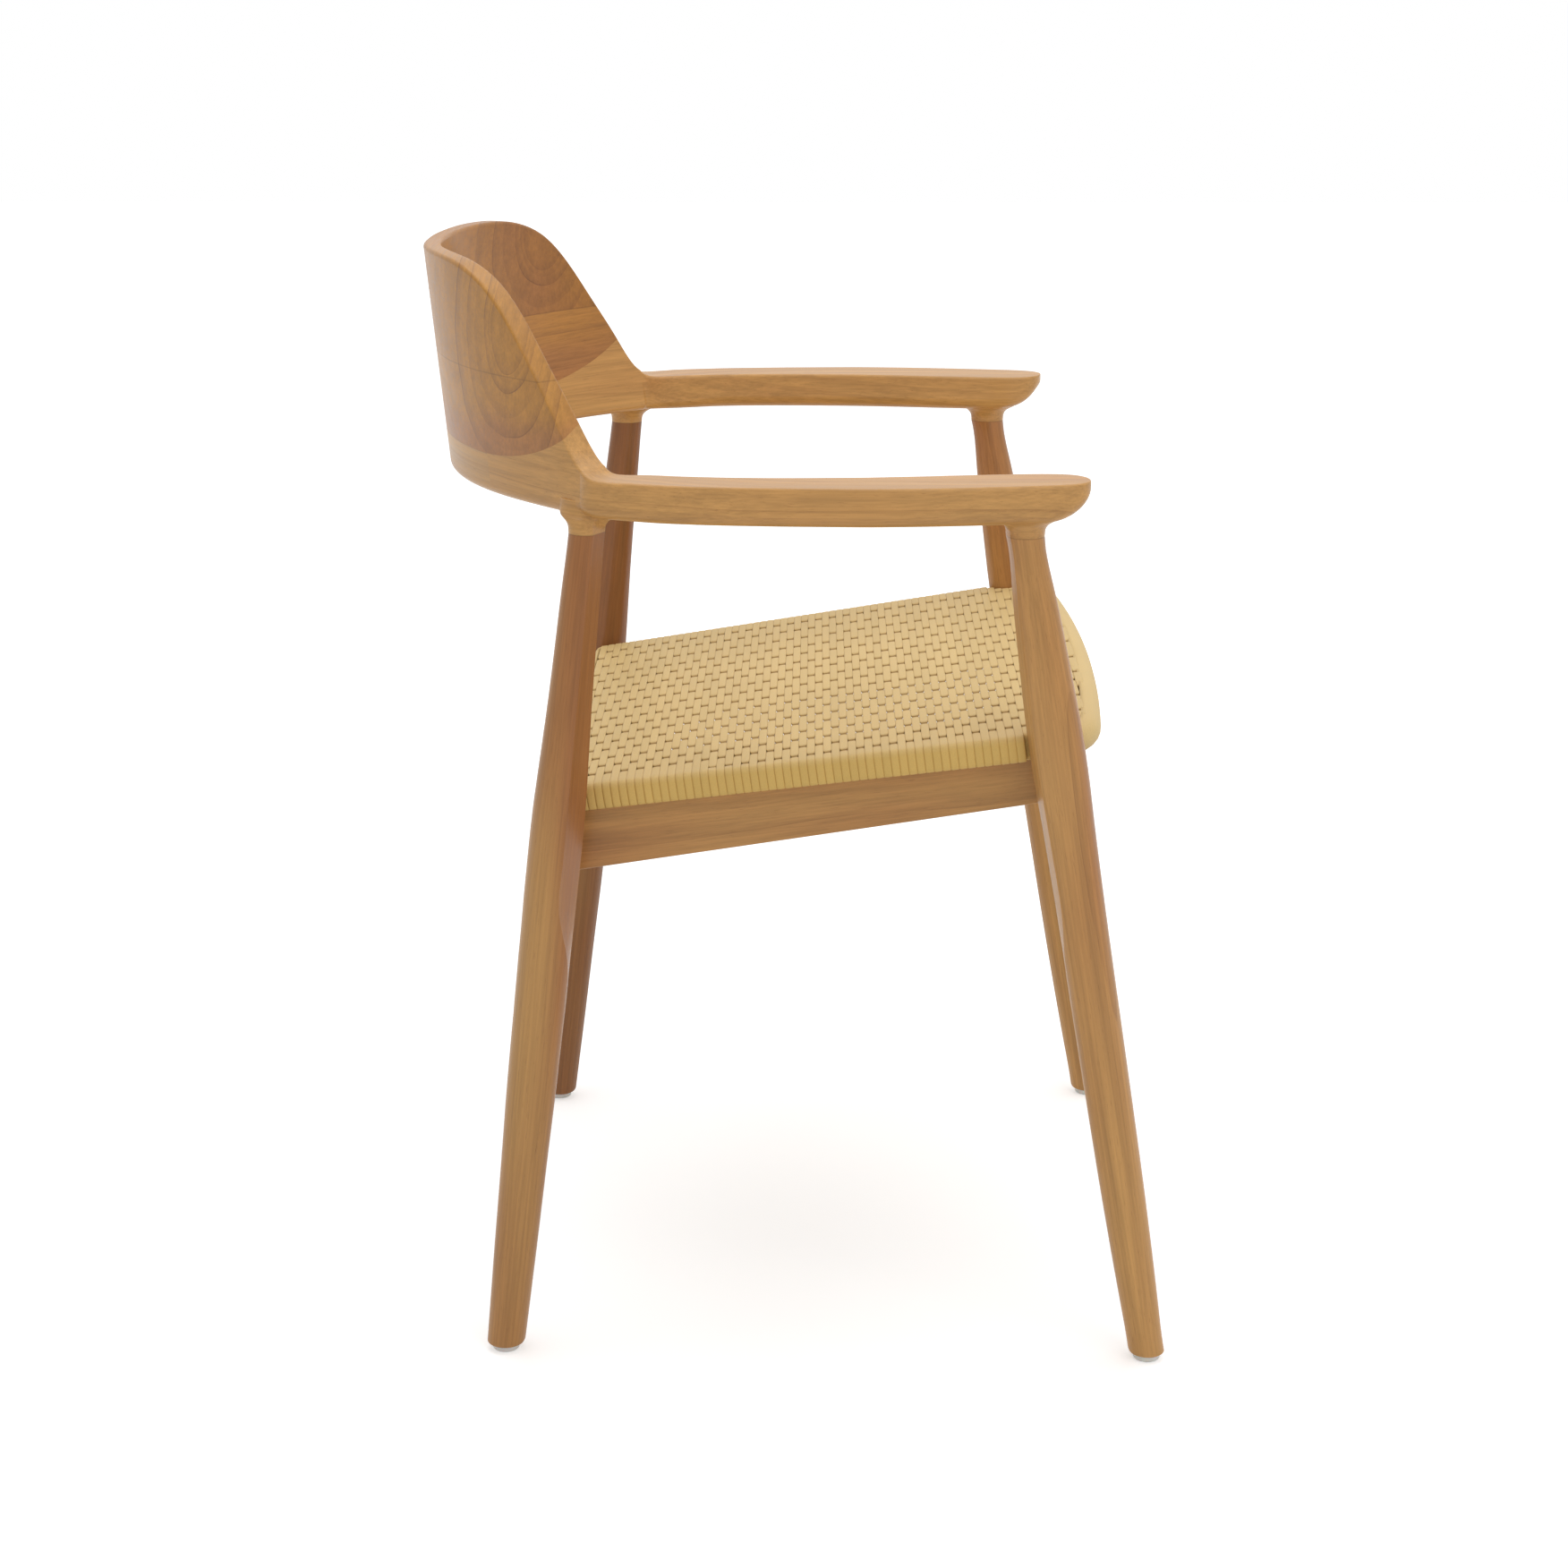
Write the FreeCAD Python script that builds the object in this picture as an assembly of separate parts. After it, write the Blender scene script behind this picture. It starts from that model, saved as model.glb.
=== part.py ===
"""Garden armchair: carved solid-wood frame with a woven seat on a lift-out frame.

Millimetres. +Z is up and the chair faces -Y, so the sitter's right hand is at -X. The origin is on
the floor, in the middle of the chair's outline. Each piece is one solid, or one group of like
fasteners, written to parts/NAME.step.
"""
import FreeCAD, Part
import math
import os

Vector = FreeCAD.Vector
UP = Vector(0, 0, 1)
SIDES = (("right", -1), ("left", 1))

# Backrest: a shell on a circle, leaning back, that runs down into the arms
back_radius = 295.0
back_centre_y = -38.4
back_top_z = 800.0
back_lean_share = 0.117
wing_degrees = 54.0
wing_spread = 4.5
rim_thickness = 25.0
base_thickness = 33.0
back_low_round = 9.5
back_inner_round = 5.0
rim_round = 2.6
largest_round_share = 0.42

# Arms
arm_top_z = 659.0
arm_thickness = 28.0
arm_width = 52.0
arm_length = 334.0
arm_bow = 20.5
arm_low_round = 9.5
arm_top_round = 2.2

# The arms start beside the back's wings, on a line that runs straight to the front
wing_x = (back_radius + wing_spread) * math.sin(math.radians(wing_degrees))
wing_y = back_centre_y + (back_radius + wing_spread) * math.cos(math.radians(wing_degrees))
arm_step_out = 7.5
arm_step_on = 12.1
arm_line_x = wing_x + arm_step_out
arm_back_y = wing_y - arm_step_on
arm_tip_y = arm_back_y - arm_length

# Places of the legs, on their axes: the neck under the arm, and the foot splayed out from it
neck_z = 619.5
front_neck_out, front_neck_inset = 5.7, 44.1
back_neck_out, back_neck_inset = -3.8, 17.0
front_splay_x, front_splay_y = 16.7, 102.6
back_splay_x, back_splay_y = 13.1, 70.9
front_neck_x, front_neck_y = arm_line_x + front_neck_out, arm_tip_y + front_neck_inset
back_neck_x, back_neck_y = arm_line_x + back_neck_out, arm_back_y + back_neck_inset
front_foot_x, front_foot_y = front_neck_x + front_splay_x, front_neck_y - front_splay_y
back_foot_x, back_foot_y = back_neck_x + back_splay_x, back_neck_y + back_splay_y

# Legs: spindles that are thickest at the seat, with one planed flat beside the seat
front_leg_radius = 20.4
back_leg_radius = 19.6
leg_foot_round = 2.5
oval_steps = 8
leg_steps = 18
flat_crown = 0.25
tenon_radius = 8.0
tenon_length = 24.0
tenon_fit = 0.2
tenon_end_gap = 1.0

# Height shares and radius shares of the two spindles, from the floor to the neck
front_leg_shares = ((0.0, 0.655), (0.042, 0.672), (0.134, 0.75), (0.247, 0.81), (0.37, 0.84),
                    (0.48, 0.862), (0.58, 0.893), (0.66, 0.94), (0.715, 0.985), (0.745, 1.0),
                    (0.79, 0.965), (0.85, 0.89), (0.9, 0.815), (0.94, 0.73), (0.97, 0.688), (1.0, 0.674))
back_leg_shares = ((0.0, 0.72), (0.03, 0.742), (0.124, 0.808), (0.24, 0.872), (0.334, 0.935),
                   (0.42, 0.958), (0.5, 0.982), (0.58, 0.997), (0.64, 1.0), (0.69, 0.965),
                   (0.74, 0.895), (0.79, 0.83), (0.845, 0.775), (0.9, 0.738), (0.95, 0.7), (1.0, 0.663))
# The flat runs from an outer arris to an inner one, both as angles from the outward side; below the
# seat rails it narrows to nothing towards the inner arris
flat_inner_degrees = 104.0
back_flat_degrees = 22.0
front_flat_degrees = 52.0
flat_full_share = 0.56
flat_gone_share = 0.43
flat_least_degrees = 5.0

# Foot glides: a moulded nylon button on a nail
glide_radius = 10.0
glide_height = 5.0
glide_edge = 2.0
nail_radius = 1.25
nail_head_radius = 4.0
nail_head_height = 1.2
nail_recess = 1.6
nail_length = 22.0
nail_fit = 0.1

# Numbers of stations along the back's half, the arm and the boss; the arm's crowd towards its tip
back_steps = 12
arm_steps = 22
arm_step_power = 1.5
blend_steps = 3
boss_steps = 8

# Arm stations from back to tip: share of the length, of the bow, of the width, of the thickness
# that the underside has risen, and of the back's lean
arm_stations_shares = ((0.0, 0.04, 0.66, 0.0, 0.3), (0.06, 0.27, 0.75, 0.0, 0.12),
                       (0.105, 0.49, 0.78, 0.0, 0.04), (0.15, 0.64, 0.795, 0.0, 0.0),
                       (0.21, 0.8, 0.805, 0.0, 0.0), (0.29, 0.92, 0.82, 0.0, 0.0),
                       (0.39, 0.985, 0.86, 0.0, 0.0), (0.51, 0.985, 0.925, 0.0, 0.0),
                       (0.63, 0.84, 0.975, 0.0, 0.0), (0.75, 0.58, 1.0, 0.0, 0.0),
                       (0.84, 0.37, 0.985, 0.0, 0.0), (0.9, 0.24, 0.95, 0.01, 0.0),
                       (0.94, 0.16, 0.885, 0.1, 0.0), (0.966, 0.11, 0.78, 0.26, 0.0),
                       (0.983, 0.07, 0.64, 0.44, 0.0), (0.994, 0.04, 0.44, 0.62, 0.0),
                       (1.0, 0.02, 0.2, 0.76, 0.0))

# Back stations from the middle to the wing: share of the wing angle, of the rim's rise over the
# arms, of the rim's thickness, of the base's thickness, and of the outward spread
back_stations_shares = ((0.0, 0.99, 0.53, 0.6, 0.0), (0.17, 0.995, 0.54, 0.6, 0.0), (0.34, 1.0, 0.57, 0.6, 0.0),
                        (0.46, 0.994, 0.61, 0.605, 0.0), (0.555, 0.967, 0.64, 0.61, 0.0),
                        (0.64, 0.907, 0.66, 0.62, 0.0), (0.713, 0.8, 0.67, 0.64, 0.0),
                        (0.778, 0.647, 0.68, 0.68, 0.03), (0.839, 0.48, 0.7, 0.74, 0.12),
                        (0.9, 0.31, 0.76, 0.82, 0.34), (0.952, 0.145, 0.87, 0.91, 0.67),
                        (1.0, 0.042, 1.0, 1.0, 1.0))

# Glue faces of the back: bow and arms below, a middle board and a top board above
low_glue_z = 661.0
high_glue_z = 721.5
scarf_start_share = 0.895
scarf_start_y = back_centre_y + back_radius * scarf_start_share
scarf_radius = 110.0
scarf_turn_degrees = 75.0
bow_end_degrees = 32.0

# Bosses under the arms that take the legs: share of the boss height, flare shares along the arm,
# across it, and of the way from the leg's axis to the middle of the arm
boss_height = 23.0
boss_reach_along = 27.0
boss_edge = 4.5
front_boss_degrees, back_boss_degrees = -7.0, 33.0
boss_stations_shares = ((0.0, 0.0, 0.0, 0.0), (0.13, 0.012, 0.01, 0.02), (0.27, 0.07, 0.08, 0.1),
                        (0.4, 0.27, 0.28, 0.3), (0.5, 0.62, 0.56, 0.6), (0.68, 0.94, 0.88, 0.95),
                        (1.0, 1.0, 1.0, 1.0))

# Seat: a panel raked down towards the back, in its own frame with z = 0 at the woven top
seat_z = 454.6
seat_rake_share = 0.1405
seat_taper_share = 0.084
seat_inset = 12.2
seat_setback = 13.4
seat_nose_reach = 57.0
seat_rear_reach = 38.5
seat_half_width = front_neck_x - seat_inset
seat_origin_y = (front_neck_y + back_neck_y) / 2 - seat_setback
seat_front_y = (front_neck_y - back_neck_y) / 2 - seat_nose_reach
seat_back_y = (back_neck_y - front_neck_y) / 2 + seat_rear_reach
seat_bow = 13.6
seat_thickness = 20.5
seat_front_corner = 58.0
seat_back_corner = 14.0
nose_roll = 14.0
side_roll = 5.0
skin_thickness = 3.2
skin_return = 26.0
roll_shares = (0.0, 0.06, 0.2, 0.42, 0.7, 1.0)
rake = math.atan(seat_rake_share)
frame_fit = 0.3
leg_gap = 1.2
frame_member_width = 68.0

# Rails of the fixed frame
rail_thickness = 22.0
front_rail_height = 40.0
back_rail_height = 46.0
side_rail_front_inset = 17.3
side_rail_back_inset = 30.3
side_rail_front_x = seat_half_width - side_rail_front_inset
side_rail_back_x = seat_half_width - side_rail_back_inset
side_rail_front_height = 39.5
side_rail_back_height = 48.0
rail_gap = 0.3
rail_tenon_thickness = 9.0
rail_tenon_length = 15.0
rail_tenon_inset = 6.0
rail_shoulder_depth = 3.0
joint_fit = 0.15
rail_round = 1.5
long_edge_share = 0.8
side_tenon_share = 0.7

# Corner blocks and fasteners
block_leg = 52.0
block_height = 24.0
block_drop = 6.0
block_toe = 8.0
screw_radius = 2.0
screw_head_radius = 4.2
screw_head_height = 2.6
screw_fit = 0.2
block_screw_length = 34.0
seat_screw_length = 34.0
block_screw_step = 10.0
block_screw_lift = 5.0
seat_screw_inset = 11.0
seat_head_proud = 2.0
dowel_radius = 3.0
dowel_length = 26.0
dowel_fit = 0.1
dowel_end_gap = 0.5
board_dowel_clearance = 4.5
board_dowel_shares = (0.22, 0.62, 1.0)
bow_dowel_reach = dowel_length / 2 + dowel_end_gap + dowel_radius + board_dowel_clearance
last_board_dowel_degrees = bow_end_degrees - math.degrees(bow_dowel_reach / back_radius)
bow_dowel_shares = (0.34, 0.68)

# One overrun serves every cutting tool
overrun = 40.0
span = 900.0


def save(name, shape):
    """Write one sub-part, after a look at its solids."""
    bad = [solid for solid in shape.Solids if not solid.isValid() or solid.Volume <= 0]
    print("%-24s solids %d  volume %10.0f  %s" % (name, len(shape.Solids), shape.Volume, "BAD" if bad else ""))
    shape.exportStep("parts/%s.step" % name)


def block(x_range, y_range, z_range):
    """A box between two values on each axis."""
    size = [high - low for low, high in (x_range, y_range, z_range)]
    return Part.makeBox(*size, Vector(x_range[0], y_range[0], z_range[0]))


def prism(points, direction):
    """A closed outline pushed along a direction."""
    return Part.Face(Part.makePolygon(points + points[:1])).extrude(direction)


def mirrored(shape, side):
    """The shape as drawn at +X, or its mirror image at -X."""
    return shape if side > 0 else shape.mirror(Vector(0, 0, 0), Vector(1, 0, 0))


def largest(shape):
    """The biggest solid of a cut, without slivers."""
    return max(shape.Solids, key=lambda solid: solid.Volume)


def group(shapes):
    """Like fasteners as one sub-part."""
    return shapes[0] if len(shapes) == 1 else Part.makeCompound(shapes)


def rounded_section(corners, radii, place):
    """A closed wire of lines and arcs through rounded corners, put in space by place()."""
    starts, middles, ends = [], [], []
    count = len(corners)
    for index, (corner, radius) in enumerate(zip(corners, radii)):
        here = Vector(corner[0], corner[1], 0)
        before = (Vector(*corners[index - 1], 0) - here).normalize()
        after = (Vector(*corners[(index + 1) % count], 0) - here).normalize()
        half = before.getAngle(after) / 2
        setback = radius / math.tan(half)
        centre = here + (before + after).normalize() * (radius / math.sin(half))
        starts.append(here + before * setback)
        ends.append(here + after * setback)
        middles.append(centre + (here - centre).normalize() * radius)
    edges = []
    for index in range(count):
        edges.append(Part.Arc(place(starts[index]), place(middles[index]), place(ends[index])).toShape())
        edges.append(Part.makeLine(place(ends[index]), place(starts[(index + 1) % count])))
    return Part.Wire(edges)


def screw(head, direction, length):
    """A countersunk screw with its head's top at a point, and the hole that clears it."""
    def body(grow, end):
        cone = Part.makeCone(screw_head_radius + grow, screw_radius + grow, screw_head_height, head, direction)
        return cone.fuse(Part.makeCylinder(screw_radius + grow, length + end, head, direction)).removeSplitter()
    return body(0, 0), body(screw_fit, screw_fit)


def dowel(middle, direction):
    """A dowel centred on a joint, and the hole that takes it."""
    def body(grow, longer):
        half = dowel_length / 2 + longer
        return Part.makeCylinder(dowel_radius + grow, half + half, middle - direction * half, direction)
    return body(0, 0), body(dowel_fit, dowel_end_gap)


# Legs

def leg_line(foot_x, foot_y, top_x, top_y):
    """The axis of a leg at +X as a function of height."""
    def at(z):
        share = z / neck_z
        return Vector(foot_x + (top_x - foot_x) * share, foot_y + (top_y - foot_y) * share, z)
    return at


front_leg_at = leg_line(front_foot_x, front_foot_y, front_neck_x, front_neck_y)
back_leg_at = leg_line(back_foot_x, back_foot_y, back_neck_x, back_neck_y)


def oval_edge(centre, across, along, facing, start, end):
    """Part of an oval from one angle to another, measured from +X towards the flat's side."""
    points = []
    for step in range(oval_steps + 1):
        angle = math.radians(start + (end - start) * step / oval_steps)
        points.append(centre + Vector(across * math.cos(angle), facing * along * math.sin(angle), 0))
    curve = Part.BSplineCurve()
    curve.interpolate(points)
    return curve.toShape()


def smooth_row(table, at):
    """The other columns of a table at a value of its first column, on smooth curves that never overshoot."""
    places = [row[0] for row in table]
    index = min(max(sum(1 for place in places if place <= at) - 1, 0), len(table) - 2)
    low, high = places[index], places[index + 1]
    length = high - low
    part = (at - low) / length

    def slope(near, column):
        if near <= 0 or near >= len(table) - 1:
            first = min(max(near - 1, 0), len(table) - 2)
            return (table[first + 1][column] - table[first][column]) / (places[first + 1] - places[first])
        before = (table[near][column] - table[near - 1][column]) / (places[near] - places[near - 1])
        after = (table[near + 1][column] - table[near][column]) / (places[near + 1] - places[near])
        return 2 * before * after / (before + after) if before * after > 0 else 0

    values = []
    for column in range(1, len(table[0])):
        start, end = table[index][column], table[index + 1][column]
        bend_start, bend_end = slope(index, column) * length, slope(index + 1, column) * length
        cube = 2 * (start - end) + bend_start + bend_end
        square = 3 * (end - start) - 2 * bend_start - bend_end
        values.append(((cube * part + square) * part + bend_start) * part + start)
    return values


def leg_wire(centre, across, along, facing, flat_start):
    """An oval with one barely crowned flat between two arrises."""
    def on_oval(degrees):
        angle = math.radians(degrees)
        return centre + Vector(across * math.cos(angle), facing * along * math.sin(angle), 0)
    turn = 360
    half_way = (flat_inner_degrees + flat_start + turn) / 2
    outer, inner = on_oval(flat_start), on_oval(flat_inner_degrees)
    middle = (outer + inner) / 2
    crown = middle + (middle - centre).normalize() * flat_crown
    return Part.Wire([Part.Arc(outer, crown, inner).toShape(),
                      oval_edge(centre, across, along, facing, flat_inner_degrees, half_way),
                      oval_edge(centre, across, along, facing, half_way, flat_start + turn)])


def flat_start_at(height_share, full_degrees):
    """The outer arris: at its full place beside the seat, closing on the inner one lower down."""
    gone = (flat_full_share - height_share) / (flat_full_share - flat_gone_share)
    closing = min(max(gone, 0), 1)
    closed = flat_inner_degrees - flat_least_degrees
    return full_degrees + (closed - full_degrees) * closing


def leg_body(axis_at, radius, profile, facing, flat_degrees, grow):
    """The spindle of one leg at +X, cut level at both ends; with growth, the room it needs."""
    wires = []
    for step in range(leg_steps + 1):
        height_share = step / leg_steps
        radius_share, = smooth_row(profile, height_share)
        z = glide_height + (neck_z - glide_height) * height_share
        start = flat_start_at(height_share, flat_degrees)
        around = radius * radius_share + grow
        wires.append(leg_wire(axis_at(z), around, around, facing, start))
    return Part.makeLoft(wires, True, False)


def make_leg(axis_at, radius, profile, facing, flat_degrees):
    """One leg at +X with its rounded foot and its tenon."""
    body = leg_body(axis_at, radius, profile, facing, flat_degrees, 0)
    foot = foot_form(axis_at(glide_height), radius * profile[0][1])
    return body.common(foot).fuse(leg_tenon(axis_at, 0, 0))


def foot_form(centre, radius):
    """All the space above the floor end of a leg, with a rounded rim at the end."""
    flat, low = radius - leg_foot_round, centre.z
    bend = leg_foot_round * math.sqrt(0.5)
    rim = Part.Arc(Vector(flat, 0, low), Vector(flat + bend, 0, low + leg_foot_round - bend),
                   Vector(radius, 0, low + leg_foot_round)).toShape()
    points = [Vector(radius, 0, low + leg_foot_round), Vector(span, 0, low + leg_foot_round + span),
              Vector(0, 0, low + leg_foot_round + span), Vector(0, 0, low), Vector(flat, 0, low)]
    outline = Part.Wire([rim] + [Part.makeLine(start, end) for start, end in zip(points, points[1:])])
    form = Part.Face(outline).revolve(Vector(0, 0, 0), UP, 360)
    form.translate(Vector(centre.x, centre.y, 0))
    return form


def leg_tenon(axis_at, grow, longer):
    """The round tenon on a leg, or with growth the mortise for it."""
    top = axis_at(neck_z + tenon_length)
    low = axis_at(neck_z - tenon_radius / 2)
    direction = (top - low).normalize()
    return Part.makeCylinder(tenon_radius + grow, (top - low).Length + longer, low, direction)


# Arms and back as one carved form, before it is divided into boards

def carved_stations():
    """Stations from the middle of the back to the tip of the arm, at +X."""
    stations = []
    rise = back_top_z - arm_top_z
    low_z = arm_top_z - arm_thickness
    for step in range(back_steps + 1):
        turn = step / back_steps
        up, rim, base, spread = smooth_row(back_stations_shares, turn)
        angle = math.radians(wing_degrees * turn)
        radius = back_radius + wing_spread * spread
        stations.append({"x": radius * math.sin(angle), "y": back_centre_y + radius * math.cos(angle),
                         "low": low_z, "high": arm_top_z + rise * up, "lean": back_lean_share * math.cos(angle),
                         "rim": rim_thickness * rim, "base": base_thickness * base, "arm": 0})
    for step in range(arm_steps + 1):
        along = 1 - (1 - step / arm_steps) ** arm_step_power
        out, wide, risen, lean = smooth_row(arm_stations_shares, along)
        width = arm_width * wide
        stations.append({"x": arm_line_x + arm_bow * out, "y": arm_back_y - arm_length * along,
                         "low": low_z + arm_thickness * risen, "high": arm_top_z,
                         "lean": back_lean_share * lean, "rim": width, "base": width,
                         "arm": min(step / blend_steps, 1)})
    return stations


def station_wire(station, outward):
    """The rounded section of the carved form at one station."""
    height = station["high"] - station["low"]
    blend = station["arm"]
    leaning = station["lean"]
    lean_low = leaning * (station["low"] - low_glue_z)
    lean_high = leaning * (station["high"] - low_glue_z)
    half_base, half_rim = station["base"] / 2, station["rim"] / 2
    corners = ((lean_low + half_base, station["low"]), (lean_high + half_rim, station["high"]),
               (lean_high - half_rim, station["high"]), (lean_low - half_base, station["low"]))
    most = min(height, station["rim"], station["base"]) * largest_round_share
    low_outer = min(back_low_round + (arm_low_round - back_low_round) * blend, most)
    low_inner = min(back_inner_round + (arm_low_round - back_inner_round) * blend, most)
    top = min(rim_round + (arm_top_round - rim_round) * blend, most)
    centre = Vector(station["x"], station["y"], 0)
    return rounded_section(corners, (low_outer, top, top, low_inner),
                           lambda point: centre + outward * point.x + UP * point.y)


def carved_forms():
    """The back between its wings, and the arm at +X that grows out of it, cut by nothing yet."""
    half = carved_stations()
    full = [dict(station, x=-station["x"]) for station in reversed(half[1:])] + half
    wires = []
    for index, station in enumerate(full):
        before, after = full[max(index - 1, 0)], full[min(index + 1, len(full) - 1)]
        run = Vector(after["x"] - before["x"], after["y"] - before["y"], 0).normalize()
        outward = Vector(-run.y, run.x, 0)
        wires.append(station_wire(station, outward))
    start, end = arm_steps + 1, len(wires) - arm_steps - 1
    return Part.makeLoft(wires[start:end], True, False), Part.makeLoft(wires[end - 1:], True, False)


def arm_middle_at(y):
    """The arm's middle line and its width at a place along it, at +X."""
    along = min(max((arm_back_y - y) / arm_length, 0), 1)
    out, wide = smooth_row(arm_stations_shares, along)[:2]
    return arm_line_x + arm_bow * out, arm_width * wide


def beside_neck(neck):
    """The point of the carved form's middle line that is nearest to a leg's neck."""
    if neck.y < arm_back_y:
        return Vector(arm_middle_at(neck.y)[0], neck.y, neck.z)
    turn_centre = Vector(0, back_centre_y, neck.z)
    return turn_centre + (neck - turn_centre).normalize() * (back_radius + wing_spread)


def make_boss(axis_at, radius, facing, flat_degrees, turn_degrees):
    """The swelling under the arm that grows out of the leg's neck and turns to follow the arm."""
    neck = axis_at(neck_z)
    target = beside_neck(neck)
    width = arm_middle_at(neck.y)[1]
    wires = []
    for step in range(boss_steps + 1):
        up = step / boss_steps
        along, across, over = smooth_row(boss_stations_shares, up)
        centre = neck + (target - neck) * over + UP * (boss_height * up)
        half_across = radius + (width / 2 - boss_edge - radius) * across
        half_along = radius + (boss_reach_along - radius) * along
        wire = leg_wire(centre, half_across, half_along, facing, flat_degrees)
        wire.rotate(centre, UP, turn_degrees * along)
        wires.append(wire)
    return Part.makeLoft(wires, True, False)


def above_scarf():
    """Everything over the lower glue face, which curves up at the wings."""
    start = Vector(-span, scarf_start_y, low_glue_z)
    centre = start + UP * scarf_radius
    turn = math.radians(scarf_turn_degrees)

    def on_arc(angle):
        return centre + Vector(0, -scarf_radius * math.sin(angle), -scarf_radius * math.cos(angle))

    end, middle = on_arc(turn), on_arc(turn / 2)
    far_back, far_up = Vector(-span, span, low_glue_z), Vector(-span, span, span + span)
    edges = [Part.Arc(start, middle, end).toShape(), Part.makeLine(end, Vector(-span, end.y, span + span)),
             Part.makeLine(Vector(-span, end.y, span + span), far_up), Part.makeLine(far_up, far_back),
             Part.makeLine(far_back, start)]
    return Part.Face(Part.Wire(edges)).extrude(Vector(span + span, 0, 0))


def make_back_and_arms(bosses, mortises):
    """The carved form as five glued boards, with their dowels."""
    form, arm_form = carved_forms()
    upper_space = above_scarf()
    top_space = block((-span, span), (-span, span), (high_glue_z, span + span))
    reach = span / math.cos(math.radians(bow_end_degrees))
    centre = Vector(0, back_centre_y, 0)
    wedge_points = [centre] + [centre + Vector(way * reach * math.sin(math.radians(bow_end_degrees)), span, 0)
                               for way in (-1, 1)]
    wedge = prism(wedge_points, UP * (span + span))

    upper = form.common(upper_space)
    lower = form.cut(upper_space)
    boards = {"back_top_board": largest(upper.common(top_space)),
              "back_middle_board": largest(upper.cut(top_space)),
              "back_bow": largest(lower.common(wedge))}
    arms = lower.cut(wedge)
    for name, side in SIDES:
        arm = max((solid for solid in arms.Solids if solid.CenterOfMass.x * side > 0),
                  key=lambda solid: solid.Volume)
        arm = arm.fuse(mirrored(arm_form, side))
        for boss in bosses:
            arm = arm.fuse(mirrored(boss, side))
        for mortise in mortises:
            arm = arm.cut(mirrored(mortise, side))
        boards["arm_" + name] = largest(arm.removeSplitter())

    board_dowels, bow_dowels = [], []
    low_z = arm_top_z - arm_thickness
    for share in board_dowel_shares:
        for way in (-1, 1):
            angle = math.radians(last_board_dowel_degrees * share * way)
            for z, names in ((low_glue_z, ("back_bow", "back_middle_board")),
                             (high_glue_z, ("back_middle_board", "back_top_board"))):
                lean = back_lean_share * math.cos(angle) * (z - low_glue_z)
                radius = back_radius + lean
                middle = centre + Vector(radius * math.sin(angle), radius * math.cos(angle), z)
                pin, hole = dowel(middle, UP)
                board_dowels.append(pin)
                for name in names:
                    boards[name] = boards[name].cut(hole)
    for name, side in SIDES:
        angle = math.radians(bow_end_degrees * side)
        along = Vector(math.cos(angle) * side, -math.sin(angle) * side, 0)
        for share in bow_dowel_shares:
            middle = centre + Vector(back_radius * math.sin(angle), back_radius * math.cos(angle),
                                     low_z + (low_glue_z - low_z) * share)
            pin, hole = dowel(middle, along)
            bow_dowels.append(pin)
            for board in ("back_bow", "arm_" + name):
                boards[board] = boards[board].cut(hole)
    boards["board_dowels"] = group(board_dowels)
    boards["bow_dowels"] = group(bow_dowels)
    return boards


# Seat panel, in its own frame

seat_place = FreeCAD.Placement(Vector(0, seat_origin_y, seat_z),
                               FreeCAD.Rotation(Vector(1, 0, 0), -math.degrees(rake)))


def placed(shape):
    """A shape from the seat's own frame, put in the chair."""
    result = shape.copy()
    result.Placement = seat_place.multiply(result.Placement)
    return result


def local(shape):
    """A shape of the chair, seen from the seat's own frame."""
    result = shape.copy()
    result.Placement = seat_place.inverse().multiply(result.Placement)
    return result


def seat_outline(z, side_inset, front_inset, back_inset):
    """The seat's outline at a level: bowed front, straight tapered sides, rounded corners."""
    front, back = seat_front_y + front_inset, seat_back_y - back_inset
    slope = seat_taper_share

    def edge_x(y):
        return seat_half_width - slope * y - side_inset

    corner_y = front + seat_bow
    corner = Vector(edge_x(corner_y), corner_y, z)
    on_side = Vector(edge_x(corner_y + seat_front_corner), corner_y + seat_front_corner, z)
    on_front_x = corner.x - seat_front_corner
    on_front = Vector(on_front_x, front + seat_bow * (on_front_x / corner.x) ** 2, z)
    tangent = Vector(1, 2 * seat_bow * on_front_x / corner.x ** 2, 0)
    pole = Vector(edge_x(corner_y), on_front.y + tangent.y * (edge_x(corner_y) - on_front.x), z)
    back_side = Vector(edge_x(back - seat_back_corner), back - seat_back_corner, z)
    back_pole = Vector(edge_x(back), back, z)
    on_back = Vector(edge_x(back) - seat_back_corner, back, z)

    def flip(point):
        return Vector(-point.x, point.y, point.z)

    def bend(first, control, last):
        curve = Part.BezierCurve()
        curve.setPoles([first, control, last])
        return curve.toShape()

    return Part.Wire([Part.Arc(flip(on_front), Vector(0, front, z), on_front).toShape(),
                      bend(on_front, pole, on_side), Part.makeLine(on_side, back_side),
                      bend(back_side, back_pole, on_back), Part.makeLine(on_back, flip(on_back)),
                      bend(flip(on_back), flip(back_pole), flip(back_side)),
                      Part.makeLine(flip(back_side), flip(on_side)),
                      bend(flip(on_side), flip(pole), flip(on_front))])


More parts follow.
